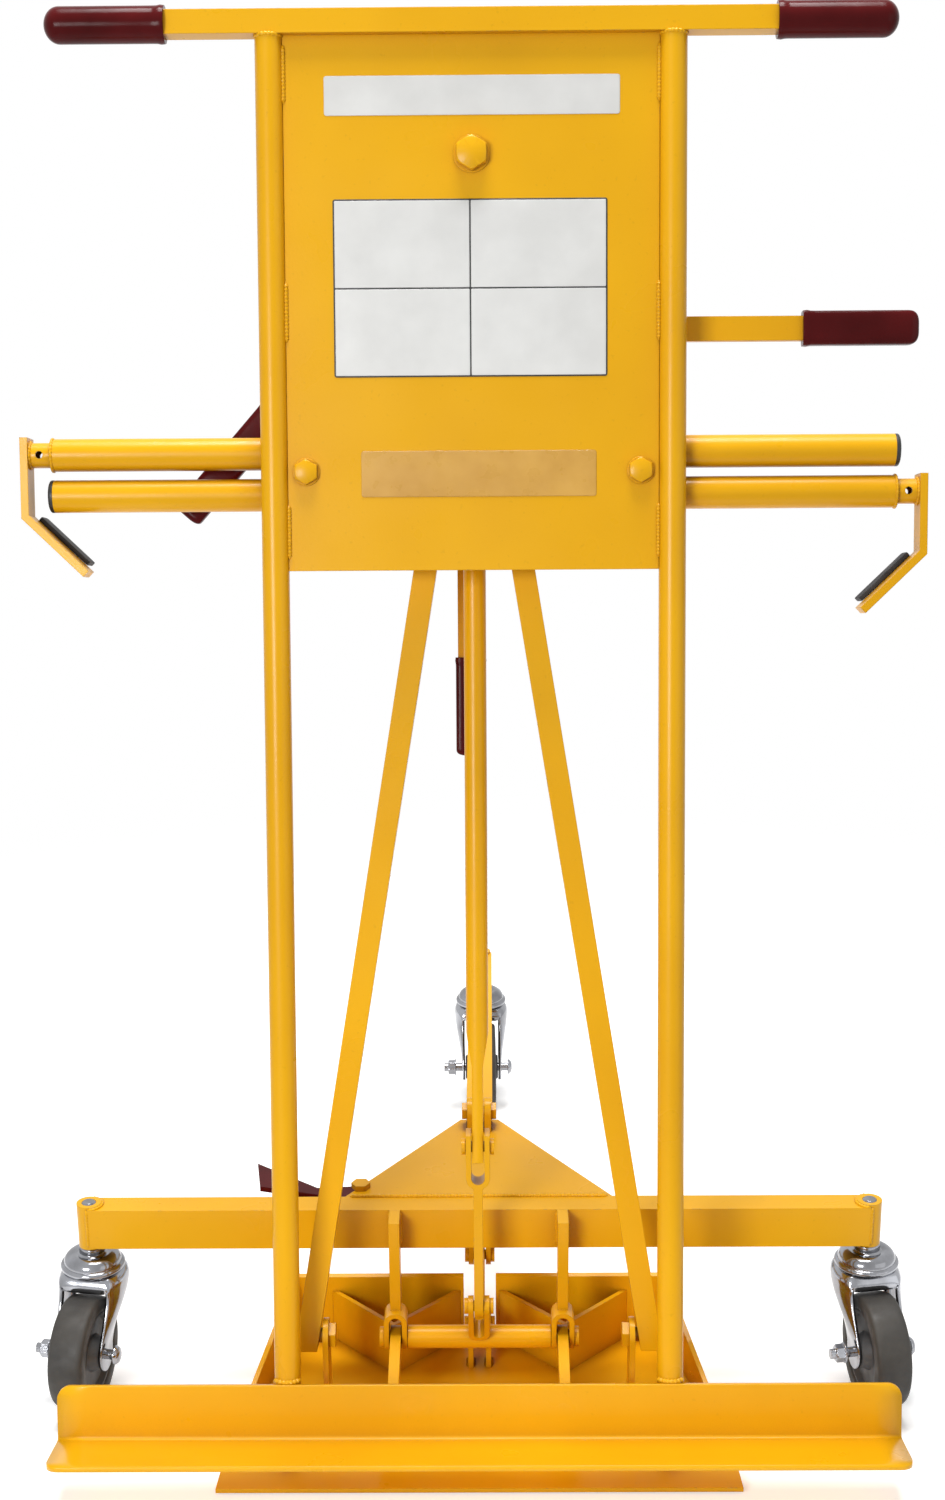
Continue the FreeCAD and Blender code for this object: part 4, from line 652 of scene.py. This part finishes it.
# %% [markdown]
# Stems and raceways: turned steel between the fork's crown and the cross tube. The raceway is a
# shallow dome with a rolled rim, then a collar, then the stem that ends in the sleeve. Stacked discs
# would show seams, and one turned profile has none.

# %% Turned raceways
CROWN_GAP = 0.0003
RIM_RADIUS = 0.029
RIM_ROLL = 0.003
DOME_RISE = 0.009
CREST_RADIUS = 0.0165
COLLAR_RADIUS = 0.0115
COLLAR_FLARE = 0.002
COLLAR_FOOT = 0.0005
FLARE_SINK = 0.0008
COLLAR_EASE = 0.001
STEM_RADIUS = 0.00635
STEM_CHAMFER = 0.0012


def stem_rings(side, top_z):
    """Turned profile: rolled rim, a dome that is a quarter of an ellipse, collar and chamfered stem."""
    stem = np.array(joints[side + "_caster_swivel"]["pos_m"])
    low = node_points(side + "_caster_fork")[:, 2].max() + CROWN_GAP
    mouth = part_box("stem_sleeves")[0].z
    roll = np.linspace(-np.pi / 2, np.pi / 2, 9)
    turn = np.linspace(0, np.pi / 2, 12)[1:]
    hollow = RIM_RADIUS - RIM_ROLL
    dome_foot = low + 2 * RIM_ROLL
    dome_top = dome_foot + DOME_RISE
    edge = np.stack([hollow + RIM_ROLL * np.cos(roll), low + RIM_ROLL + RIM_ROLL * np.sin(roll)], axis=1)
    swell = CREST_RADIUS + (hollow - CREST_RADIUS) * np.cos(turn)
    dome = np.stack([swell, dome_foot + DOME_RISE * np.sin(turn)], axis=1)
    neck = [(COLLAR_RADIUS + COLLAR_FLARE, dome_top - FLARE_SINK), (COLLAR_RADIUS, dome_top + COLLAR_FOOT),
            (COLLAR_RADIUS, mouth - COLLAR_EASE), (COLLAR_RADIUS - COLLAR_EASE, mouth), (STEM_RADIUS, mouth),
            (STEM_RADIUS, top_z - STEM_CHAMFER), (STEM_RADIUS - STEM_CHAMFER, top_z)]
    return turned(np.vstack([edge, dome, neck]), stem * FLAT, WORLD_UP, around=56)


front_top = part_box("front_caster_stems")[1].z
fronts = [skin(stem_rings(side, front_top)) for side in ("left", "right")]
make_piece("front_raceways", fronts, FINISH["zinc_plate"], "base", ("front_caster_stems",))
rear_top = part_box("rear_caster_stem")[1].z
make_piece("rear_raceway", [skin(stem_rings("rear", rear_top))], FINISH["zinc_plate"], "leg",
           ("rear_caster_stem",))
print("raceways", len(fronts) + 1)

# %% [markdown]
# Bolts: hexagon heads with a chamfered crown and a washer. A boolean could cut a hexagon with a cone,
# but a formula leaves cleaner faces: the head is a skin whose radius is the smaller of two, the
# hexagon's, which swings with the angle, and the cone's, which takes off the corners.

# %% Hexagon heads and washers
HEAD_LEVELS = np.array([0, 0.4, 0.72, 0.80, 0.88, 0.95, 1.0])
TURNED_SHARE = 0.96
CONE_SLOPE = math.tan(math.radians(60))
WASHER_EASE = 0.3
WASHER_SHARE = 0.62
WASHER_THICK = 0.0016
SHANK_SHARE = 0.17
BOLT_GAP = 0.02


def hex_rings(place, axis, flats, height, around=60):
    """Hexagon prism along an axis with its outer corners turned off by a 30 degree cone."""
    axis = np.asarray(axis, float) / np.linalg.norm(axis)
    angle = np.linspace(0, 2 * np.pi, around, endpoint=False)
    hexagon = flats / 2 / np.cos((angle % (np.pi / 3)) - np.pi / 6)
    level = height * HEAD_LEVELS
    cone = TURNED_SHARE * flats / 2 + (height - level) * CONE_SLOPE
    radius = np.minimum(hexagon, cone[:, None])
    return np.asarray(place) + level[:, None, None] * axis + radius[..., None] * circle_about(axis, angle)


def washer(place, axis, radius, thick):
    """Thin turned disc with eased edges."""
    ease = thick * WASHER_EASE
    return turned([(radius - ease, 0), (radius, ease), (radius, thick - ease), (radius - ease, thick)],
                  place, axis, around=40)


def shank(start, end, radius):
    """Plain round bar between two points."""
    start, end = np.asarray(start, float), np.asarray(end, float)
    length = np.linalg.norm(end - start)
    return turned([(radius, 0), (radius, length)], start, end - start, around=24)


def split_by(points, axis, gap=0.001):
    """Boxes of the lumps of a node that lie apart along one axis."""
    order = points[np.argsort(points[:, axis])]
    cuts = np.nonzero(np.diff(order[:, axis]) > gap)[0] + 1
    return [span_of(lump) for lump in np.split(order, cuts)]


plate_face = mast_points("face_plate")[:, 1].min()
bolts = []
for low, high in split_by(mast_points("frame_bolts"), 0, BOLT_GAP):
    x, z = (low[0] + high[0]) / 2, (low[2] + high[2]) / 2
    flats = min(high[0] - low[0], high[2] - low[2])
    head = plate_face - low[1]
    front = on_mast([x, plate_face, z])
    bolts.append(washer(front, -BACK, WASHER_SHARE * flats, WASHER_THICK))
    bolts.append(hex_rings(front - BACK * WASHER_THICK, -BACK, flats, head - WASHER_THICK))
    bolts.append(shank(front, on_mast([x, high[1], z]), SHANK_SHARE * flats))
    bolts.append(hex_rings(on_mast([x, high[1] - head, z]), BACK, flats, head))
make_piece("plate_bolts", [skin(rings) for rings in bolts], FINISH["yellow_paint"], "door_frame",
           ("frame_bolts",))
print("plate bolts", len(bolts) // 4)

# %% [markdown]
# Each wheel turns on a bolt through the fork's legs: a domed head on one side, a washer and a nut on
# the other. It could stay the CAD pin, but the nut is what the eye finds on a caster. The same turned
# and hexagon skins make it.

# %% Axle bolts
AXLE_RADIUS = 0.0046
AXLE_PROUD = 0.0135
AXLE_WASHER_RADIUS = 0.0095
AXLE_WASHER_THICK = 0.0014
NUT_FLATS = 0.0142
NUT_HEIGHT = 0.0075
DOMED_HEAD = [(0.0085, 0), (0.0085, 0.0012), (0.0066, 0.0038), (0.003, 0.0050)]

for side in CASTERS:
    centre, axle, _, _ = wheel_place(side)
    leg = np.abs((node_points(side + "_caster_fork") - centre) @ axle).max()
    left = axle if axle[0] < 0 else -axle
    near = centre + left * leg
    far = centre - left * leg
    parts = [shank(far, near + left * AXLE_PROUD, AXLE_RADIUS),
             washer(near, left, AXLE_WASHER_RADIUS, AXLE_WASHER_THICK),
             hex_rings(near + left * AXLE_WASHER_THICK, left, NUT_FLATS, NUT_HEIGHT),
             turned(DOMED_HEAD, far, -left, around=32)]
    make_piece(side + "_axle_bolt", [skin(rings) for rings in parts], FINISH["zinc_plate"], side + "_swivel",
               (side + "_caster_axle",))
print("axle bolts", len(CASTERS))

# %% [markdown]
# The shelf is a strip of sheet bent to an angle, with the corners of both legs cut round. It could be
# two plates, but one grid that follows the bend keeps the sheet's smooth knee: one parameter runs from
# the top edge round the knee to the front edge, the other along the shelf. Solidify gives the gauge.

# %% Bent shelf
KNEE = 0.0075
CORNER_ROUND = 0.0115
SHELF_GAUGE = 0.0047
LEDGE_DEPTH = 0.064


def bent_shelf(low, high, columns=31):
    """Outer face of the angle, with a half length that follows a quarter circle at either edge."""
    turn = np.linspace(0, np.pi / 2, 10)
    knee_y = high[1] - KNEE + KNEE * np.cos(turn)
    knee_z = low[2] + KNEE - KNEE * np.sin(turn)
    edge = CORNER_ROUND * (1 - np.cos(turn))
    down = np.concatenate([high[2] - edge, knee_z, np.full(len(turn) + 1, low[2])])
    out = np.concatenate([np.full(len(turn), high[1]), knee_y, [high[1] - 2 * KNEE], low[1] + edge[::-1]])
    shrink = CORNER_ROUND * (1 - np.sin(turn))
    cut = np.concatenate([shrink, np.zeros(len(turn) + 1), shrink[::-1]])
    reach = (high[0] - low[0]) / 2
    x = (reach - cut)[:, None] * np.linspace(-1, 1, columns)
    y = np.broadcast_to(out[:, None], x.shape)
    z = np.broadcast_to(down[:, None], x.shape)
    return on_mast(np.stack([x, y, z], axis=-1))


shelf_low, shelf_high = span_of(mast_points("shelf_angle"))
shelf_low[1] = shelf_high[1] - LEDGE_DEPTH
shelf_grid = bent_shelf(shelf_low, shelf_high)
shelf = make_piece("bent_shelf", [sheet(shelf_grid)], FINISH["yellow_paint"], "door_frame",
                   ("shelf_angle",))
thicken(shelf, SHELF_GAUGE)
print("shelf", np.round((shelf_high - shelf_low) * 1000, 1), "mm")

# %% [markdown]
# The face plate carries blank panels: a white strip, a white panel ruled into four by black lines and
# a gold one. They could be painted on by a mask in the enamel, but thin plates keep their edges sharp
# at any size. Each is a skin of two rounded rectangles laid on the face plate, and the rules are the
# gaps between four white cells on a black panel.

# %% Blank panels
PANEL_THICK = 0.0003
PANEL_SINK = 0.0004
PANEL_ROUND = 0.002
CELL_THICK = 0.0005
CELL_ROUND = 0.0008
RULE = 0.0012
STRIP_BOX = (-0.118, 0.119, 1.0205, 1.0515)
RULED_BOX = (-0.112, 0.109, 0.814, 0.955)
GOLD_BOX = (-0.091, 0.100, 0.718, 0.755)
WHITE = matt("panel_white", (0.74, 0.74, 0.72, 1), (0.82, 0.82, 0.80, 1), 0.38, 300.0, 0.0001)
BLACK = matt("panel_black", grey(0.012), grey(0.02), 0.42, 300.0, 0.0001)
GOLD = matt("panel_gold", (0.60, 0.31, 0.045, 1), (0.72, 0.40, 0.07, 1), 0.32, 300.0, 0.0001)


def panel(x0, x1, z0, z1, thick=PANEL_THICK, round_by=PANEL_ROUND, count=40):
    """Thin plate with rounded corners: the same outline just behind the plate's face and in front of it."""
    angle = np.linspace(0, 2 * np.pi, count, endpoint=False) + np.pi / count
    circle = np.stack([np.cos(angle), np.sin(angle)], axis=1)
    half = np.array([x1 - x0, z1 - z0]) / 2
    outline = np.array([x0 + x1, z0 + z1]) / 2 + np.sign(circle) * (half - round_by) + round_by * circle
    rings = np.zeros((2, count, 3))
    rings[..., [0, 2]] = outline
    rings[..., 1] = plate_face + np.array([[PANEL_SINK], [-thick]])
    return on_mast(rings)


def two_cells(low, high):
    """Two equal stretches from low to high, with a rule before, between and after them."""
    width = (high - low - 3 * RULE) / 2
    return (low + RULE, low + RULE + width), (high - RULE - width, high - RULE)


whites = [panel(*STRIP_BOX)]
for x0, x1 in two_cells(*RULED_BOX[:2]):
    for z0, z1 in two_cells(*RULED_BOX[2:]):
        whites.append(panel(x0, x1, z0, z1, CELL_THICK, CELL_ROUND))
for name, panels, finish in (("white_panels", whites, WHITE), ("ruled_panel", [panel(*RULED_BOX)], BLACK),
                             ("gold_panel", [panel(*GOLD_BOX)], GOLD)):
    make_piece(name, [skin(rings) for rings in panels], finish, "door_frame")
print("blank panels", len(whites) + 2)

# %% [markdown]
# Hook pads are smooth strips of solid rubber glued to the hooks. A box with a bevel would come close,
# but moulded rubber has no flat facets at its edges. So a pad is a skin along its length whose
# sections are nearly square superellipses, and it shrinks a little at both ends.

# %% Rubber pads
PAD_POWER = 8.0


def soft_pad(node, stations=25):
    """Nearly square section along the pad's long axis; its size falls as a superellipse at the ends."""
    centre, axes, halves = long_axes(node_points(node))
    place = np.sin(np.linspace(-np.pi / 2, np.pi / 2, stations))[1:-1]
    size = (1 - np.abs(place) ** (4 * PAD_POWER)) ** (1 / (2 * PAD_POWER))
    wide, deep = rounded_box(halves[1], halves[2], PAD_POWER)
    section = wide[:, None] * axes[1] + deep[:, None] * axes[2]
    return centre + halves[0] * place[:, None, None] * axes[0] + size[:, None, None] * section


for side in ("left", "right"):
    rings = soft_pad("hook_pad_" + side)
    make_piece(side + "_rubber_facing", [skin(rings)], FINISH["pad_rubber"], side + "_hook",
               ("hook_pad_" + side,))
    print(side, "pad", rings.shape)

# %% [markdown]
# Tube plugs: moulded caps with a thin flange and a shallow dome. A stock disc would do from afar, but
# the flange catches the light, so a short profile is turned about the tube's axis.

# %% Tube plugs
PLUG_FLANGE = 0.0025
PLUG_RIM = np.array([(-0.003, -0.010), (-0.002, -0.0002), (-0.0002, 0), (0, 0.0002), (0, 0.0022),
                     (-0.0006, 0.0031)])
PLUG_DOME = np.array([(0.85, 0.0038), (0.5, 0.0043), (0.2, 0.0045)])

cap_points = mast_points("hook_tube_caps")
plugs = []
for sign in (-1, 1):
    low, high = span_of(cap_points[cap_points[:, 0] * sign > 0])
    rim = (high[2] - low[2]) / 2
    mouth = max(abs(low[0]), abs(high[0])) - PLUG_FLANGE
    centre = on_mast([sign * mouth, (low[1] + high[1]) / 2, (low[2] + high[2]) / 2])
    profile = np.vstack([PLUG_RIM + [rim, 0], PLUG_DOME * [rim, 1]])
    plugs.append(skin(turned(profile, centre, sign * ACROSS, around=40)))
make_piece("tube_plugs", plugs, FINISH["cap_plastic"], "door_frame", ("hook_tube_caps",))
print("tube plugs", len(plugs))

# %% [markdown]
# Welds: the frame is welded by hand, and the beads show at every foot and seam. They could be bump in
# the enamel, but their outline shows. A bead is a tube along a path. Its radius ripples with each drop
# of filler and shrinks towards both ends.

# %% Weld beads
DROP = 0.0030
DROP_STATIONS = 5
FEWEST_STATIONS = 12
RIPPLE = 0.14
TAPER = 1.5
END_SHARE = 0.02


def bead(path, radius, around=10):
    """Tube along a path: radius times (1 + ripple times cos of the drops passed), tapered at the ends."""
    path = np.asarray(path, float)
    step = np.linalg.norm(np.diff(path, axis=0), axis=1)
    place = np.concatenate([[0], np.cumsum(step)])
    count = max(int(place[-1] / DROP * DROP_STATIONS), FEWEST_STATIONS)
    s = np.linspace(0, place[-1], count)
    line = np.stack([np.interp(s, place, path[:, k]) for k in range(3)], axis=1)
    ahead = np.gradient(line, axis=0)
    ahead /= np.linalg.norm(ahead, axis=1)[:, None]
    axes = np.array([ACROSS, WORLD_BACK, WORLD_UP])
    squarest = axes[np.argmin(np.abs(ahead @ axes.T).max(axis=0))]
    side = np.cross(ahead, squarest)
    side /= np.linalg.norm(side, axis=1)[:, None]
    rise = np.cross(side, ahead)
    end = np.minimum(s, place[-1] - s) / (TAPER * radius)
    size = radius * (1 + RIPPLE * np.cos(2 * np.pi * s / DROP)) * np.sqrt(np.clip(end, END_SHARE, 1))
    angle = np.linspace(0, 2 * np.pi, around, endpoint=False)
    circle = np.cos(angle)[:, None] * side[:, None] + np.sin(angle)[:, None] * rise[:, None]
    return line[:, None] + size[:, None, None] * circle


def arc(centre, first, second, radius, start, stop, count=40):
    """Part of a circle, from and to an angle in degrees: centre + radius (cos a first + sin a second)."""
    a = np.radians(np.linspace(start, stop, count))
    return np.asarray(centre) + radius * (np.outer(np.cos(a), first) + np.outer(np.sin(a), second))


def weld(name, beads, body):
    """Painted beads on one body, as one piece."""
    make_piece(name, [skin(rings) for rings in beads], FINISH["yellow_paint"], body)
    print(name, len(beads), "beads")


print("a drop of filler is", DROP * 1000, "mm long")

# %% [markdown]
# On the door frame each upright stands on the shelf in a fat bead and meets the handlebar in a thin
# ring, and the face plate is stitched to it in three places. The rings follow arcs about the uprights'
# axes, so they stay on the tubes if the frame changes.

# %% Welds on the door frame
FOOT_BEAD = 0.0026
FOOT_ARC = (-75, 75)
FOOT_RISE = 0.0008
HEAD_BEAD = 0.0018
HEAD_ARC = (-175, 185)
HEAD_DROP = 0.0006
HEAD_SINK = 0.0008
STITCH_BEAD = 0.0019
STITCH_OUT = 0.0004
STITCHES = ((0.668, 0.712), (0.842, 0.890), (1.030, 1.076))

frame_beads = []
for sign, node in ((-1, "upright_left"), (1, "upright_right")):
    low, high = span_of(mast_points(node))
    x, y, radius = (low[0] + high[0]) / 2, (low[1] + high[1]) / 2, (high[0] - low[0]) / 2
    foot = on_mast([x, y, shelf_high[2] + FOOT_RISE])
    head = on_mast([x, y, high[2] - HEAD_DROP])
    frame_beads.append(bead(arc(foot, -BACK, ACROSS, radius, *FOOT_ARC), FOOT_BEAD))
    frame_beads.append(bead(arc(head, -BACK, ACROSS, radius - HEAD_SINK, *HEAD_ARC), HEAD_BEAD))
    seam = sign * (abs(x) - radius - STITCH_OUT)
    for z0, z1 in STITCHES:
        frame_beads.append(bead(on_mast([[seam, plate_face, z0], [seam, plate_face, z1]]), STITCH_BEAD))
weld("frame_welds", frame_beads, "door_frame")

# %% [markdown]
# On the base the caster sleeves are welded to the ends of the cross tube, the gusset plate along the
# tube's back, the crank's hangers to its front and the leg's lugs to the gusset plate. The CAD boxes
# say where each seam runs.

# %% Welds on the base
SEAM_RISE = 0.0002
SLEEVE_BEAD = 0.0016
SLEEVE_OUT = 0.0006
SLEEVE_ARC = (-88, 88)
SIDE_BEAD = 0.0018
SIDE_OUT = 0.0004
SIDE_LENGTH = 0.0375
GUSSET_BEAD = 0.0021
GUSSET_INSET = 0.004
HANGER_BEAD = 0.0018
HANGER_GAP = 0.02
LUG_BEAD = 0.0013
END_INSET = 0.002


def side_beads(low, high, level, radius):
    """Two straight beads from front to back, one along either side of a box."""
    return [bead([[x, low[1] + END_INSET, level], [x, high[1] - END_INSET, level]], radius)
            for x in (low[0], high[0])]


base_beads = []
tube_low, tube_high = [np.array(corner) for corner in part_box("cross_tube")]
sleeve_radius = (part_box("stem_sleeves")[1].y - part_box("stem_sleeves")[0].y) / 2
for sign in (-1, 1):
    stem = np.array([sign * tube_high[0], (tube_low[1] + tube_high[1]) / 2, tube_high[2] + SEAM_RISE])
    ring = arc(stem, -sign * ACROSS, WORLD_BACK, sleeve_radius + SLEEVE_OUT, *SLEEVE_ARC)
    base_beads.append(bead(ring, SLEEVE_BEAD))
    for y in (-1, 1):
        foot = stem + [sign * SLEEVE_OUT, y * (sleeve_radius + SIDE_OUT), 0]
        base_beads.append(bead([foot - SIDE_LENGTH * WORLD_UP, foot], SIDE_BEAD))
gusset_low, gusset_high = [np.array(corner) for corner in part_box("gusset_plate")]
edge = gusset_high[2] + SEAM_RISE
seam = [[x, tube_high[1], edge] for x in (gusset_low[0] + GUSSET_INSET, gusset_high[0] - GUSSET_INSET)]
base_beads.append(bead(seam, GUSSET_BEAD))
hangers = node_points("crank_hangers")
for low, high in split_by(hangers[hangers[:, 2] > tube_low[2]], 0, HANGER_GAP):
    for x in (low[0], high[0]):
        ends = [[x, tube_low[1], z] for z in (tube_low[2] + 2 * END_INSET, tube_high[2] - END_INSET)]
        base_beads.append(bead(ends, HANGER_BEAD))
for low, high in split_by(node_points("leg_lugs"), 0):
    base_beads += side_beads(low, high, edge, LUG_BEAD)
weld("base_welds", base_beads, "base")

# %% [markdown]
# The pan carries the mast's brackets and the lift's ears, plates that stand on it and are welded along
# both sides. The hooks' rods are welded to the hooks, and the tubes that hold them have a bead round
# their open mouths.

# %% Welds on the pan and the hooks
PAN_BEAD = 0.0018
PAN_RISE = 0.0003
MOUTH_BEAD = 0.0013
MOUTH_OUT = 0.0006
MOUTH_SINK = 0.0004
HOOK_BEAD = 0.0015
HOOK_FACE = 0.3655
ROD_RING = 0.0103
WHOLE_TURN = (0, 360)

pan_beads = []
for node in ("mast_brackets", "carriage_ears"):
    for low, high in split_by(node_points(node), 0):
        pan_beads += side_beads(low, high, low[2] + PAN_RISE, PAN_BEAD)
weld("pan_welds", pan_beads, "carriage")

mouth_beads = []
for sign, side, node in ((-1, "left", "hook_tube_upper"), (1, "right", "hook_tube_lower")):
    low, high = span_of(mast_points(node))
    y, z, radius = (low[1] + high[1]) / 2, (low[2] + high[2]) / 2, (high[2] - low[2]) / 2
    mouth = on_mast([sign * (high[0] + MOUTH_OUT), y, z])
    mouth_beads.append(bead(arc(mouth, BACK, UP, radius - MOUTH_SINK, *WHOLE_TURN, count=80), MOUTH_BEAD))
    ring = arc(on_mast([sign * HOOK_FACE, y, z]), BACK, UP, ROD_RING, *WHOLE_TURN, count=60)
    weld(side + "_hook_weld", [bead(ring, HOOK_BEAD)], side + "_hook")
weld("mouth_welds", mouth_beads, "door_frame")

# %% [markdown]
# The photograph looks slightly down on the dolly from in front. The camera's place, its angles and
# its lens were worked out from known points of the frame, such as the shelf's corners and the bar's
# ends, and the raised centre of the picture is kept as a shift of the lens.

# %% Camera
CAMERA_PLACE = np.array([0.0127, -1.93508, 1.10488])
CAMERA_YAW = -0.0090
CAMERA_PITCH = 0.3231
CAMERA_ROLL = -0.0081
FOCAL_PIXELS = 2154.5
PICTURE_HEIGHT = 1500.0
CENTRE_ROW = 832.0
SENSOR = 36.0


def put(thing, right, up, back, place):
    """Object in the scene, with its own x, y and z along three unit vectors."""
    matrix = np.eye(4)
    matrix[:3] = np.stack([right, up, back, place], axis=1)
    thing.matrix_world = Matrix(matrix.tolist())
    bpy.context.scene.collection.objects.link(thing)


ahead = np.array([math.sin(CAMERA_YAW) * math.cos(CAMERA_PITCH),
                  math.cos(CAMERA_YAW) * math.cos(CAMERA_PITCH), -math.sin(CAMERA_PITCH)])
right = np.array([math.cos(CAMERA_YAW), -math.sin(CAMERA_YAW), 0.0])
above = np.cross(right, ahead)
rolled_right = right * math.cos(CAMERA_ROLL) + above * math.sin(CAMERA_ROLL)
rolled_up = above * math.cos(CAMERA_ROLL) - right * math.sin(CAMERA_ROLL)
lens = bpy.data.cameras.new("camera")
lens.sensor_width = SENSOR
lens.lens = FOCAL_PIXELS * SENSOR / PICTURE_HEIGHT
lens.shift_y = (CENTRE_ROW - PICTURE_HEIGHT / 2) / PICTURE_HEIGHT
camera = bpy.data.objects.new("camera", lens)
put(camera, rolled_right, rolled_up, -ahead, CAMERA_PLACE)
bpy.context.scene.camera = camera
print("lens", round(lens.lens, 2), "mm")

# %% [markdown]
# A product shot stands on white ground in a white room. More light would wash out the yellow, so the
# floor glows a little, and the surround is white, only where the camera or a mirror sees them. The
# floor still takes the object's shadow, and it fades out before its edge shows.

# %% Floor and surround
FLOOR_HALF = 6.0
FLOOR_WHITE = 0.95
FLOOR_GLOW = 0.42
FADE_FROM = 0.6
FADE_TO = 1.5
SURROUND = 0.15


def in_sight(tree):
    """1 for rays from the camera and for what metal and glass show, 0 for the light on the object."""
    rays = tree.nodes.new("ShaderNodeLightPath").outputs
    mirrored = math_node(tree, "MAXIMUM", rays["Is Glossy Ray"], rays["Is Transmission Ray"])
    return math_node(tree, "MAXIMUM", rays["Is Camera Ray"], mirrored)


def white_floor():
    """Matt white near the object that fades out to the white surround further off."""
    material, tree, output, place = blank("white_floor")
    matt_white = add(tree, "ShaderNodeBsdfDiffuse", Color=grey(FLOOR_WHITE))
    glow = add(tree, "ShaderNodeEmission", Strength=math_node(tree, "MULTIPLY", in_sight(tree), FLOOR_GLOW))
    ground = tree.nodes.new("ShaderNodeAddShader")
    tree.links.new(matt_white.outputs["BSDF"], ground.inputs[0])
    tree.links.new(glow.outputs["Emission"], ground.inputs[1])
    clear = tree.nodes.new("ShaderNodeBsdfTransparent")
    reach = add(tree, "ShaderNodeVectorMath", operation="LENGTH", Vector=place).outputs["Value"]
    fade = add(tree, "ShaderNodeMapRange", interpolation_type="SMOOTHSTEP", Value=reach, From_Min=FADE_FROM,
               From_Max=FADE_TO)
    blend = add(tree, "ShaderNodeMixShader", Fac=fade.outputs["Result"])
    tree.links.new(ground.outputs["Shader"], blend.inputs[1])
    tree.links.new(clear.outputs["BSDF"], blend.inputs[2])
    tree.links.new(blend.outputs["Shader"], output.inputs["Surface"])
    return material


corners = [(x, y, 0) for x, y in FLOOR_HALF * np.array([(-1, -1), (1, -1), (1, 1), (-1, 1)])]
floor_mesh = bpy.data.meshes.new("floor")
floor_mesh.from_pydata(corners, [], [(0, 1, 2, 3)])
floor_mesh.materials.append(white_floor())
floor = bpy.data.objects.new("floor", floor_mesh)
bpy.context.scene.collection.objects.link(floor)

world = bpy.data.worlds.new("surround")
world.use_nodes = True
bpy.context.scene.world = world
sky = world.node_tree
sky.nodes.clear()
strength = math_node(sky, "MAXIMUM", in_sight(sky), SURROUND)
background = add(sky, "ShaderNodeBackground", Color=grey(1), Strength=strength)
sky_out = sky.nodes.new("ShaderNodeOutputWorld")
sky.links.new(background.outputs["Background"], sky_out.inputs["Surface"])
print("floor", 2 * FLOOR_HALF, "m wide, surround", SURROUND)

# %% [markdown]
# Three soft lamps light the dolly: a key at the left front, a weak fill on the right and a large lamp
# overhead, which draws the shelf's edge and the shadow below. They are area lamps, because a bare
# point would give hard shadows.

# %% Lights
LIT_POINT = np.array([0.0, -0.2, 0.45])
LAMPS = (("key", (-1.2, -2.7, 1.4), 0.9, 47), ("fill", (2.2, -1.8, 1.2), 2.0, 7),
         ("top", (0.0, 0.2, 4.0), 1.6, 155))


def soft_light(name, place, size, power):
    """Square area lamp of a size in metres and a power in watts, turned to face the lit point."""
    lamp = bpy.data.lights.new(name, "AREA")
    lamp.size = size
    lamp.energy = power
    back = np.asarray(place, float) - LIT_POINT
    back /= np.linalg.norm(back)
    side, rise = square_to(back)
    put(bpy.data.objects.new(name, lamp), side, rise, back, place)


for lamp_facts in LAMPS:
    soft_light(*lamp_facts)
bpy.context.scene.view_settings.view_transform = "Standard"
print("lamps", [name for name, *_ in LAMPS])
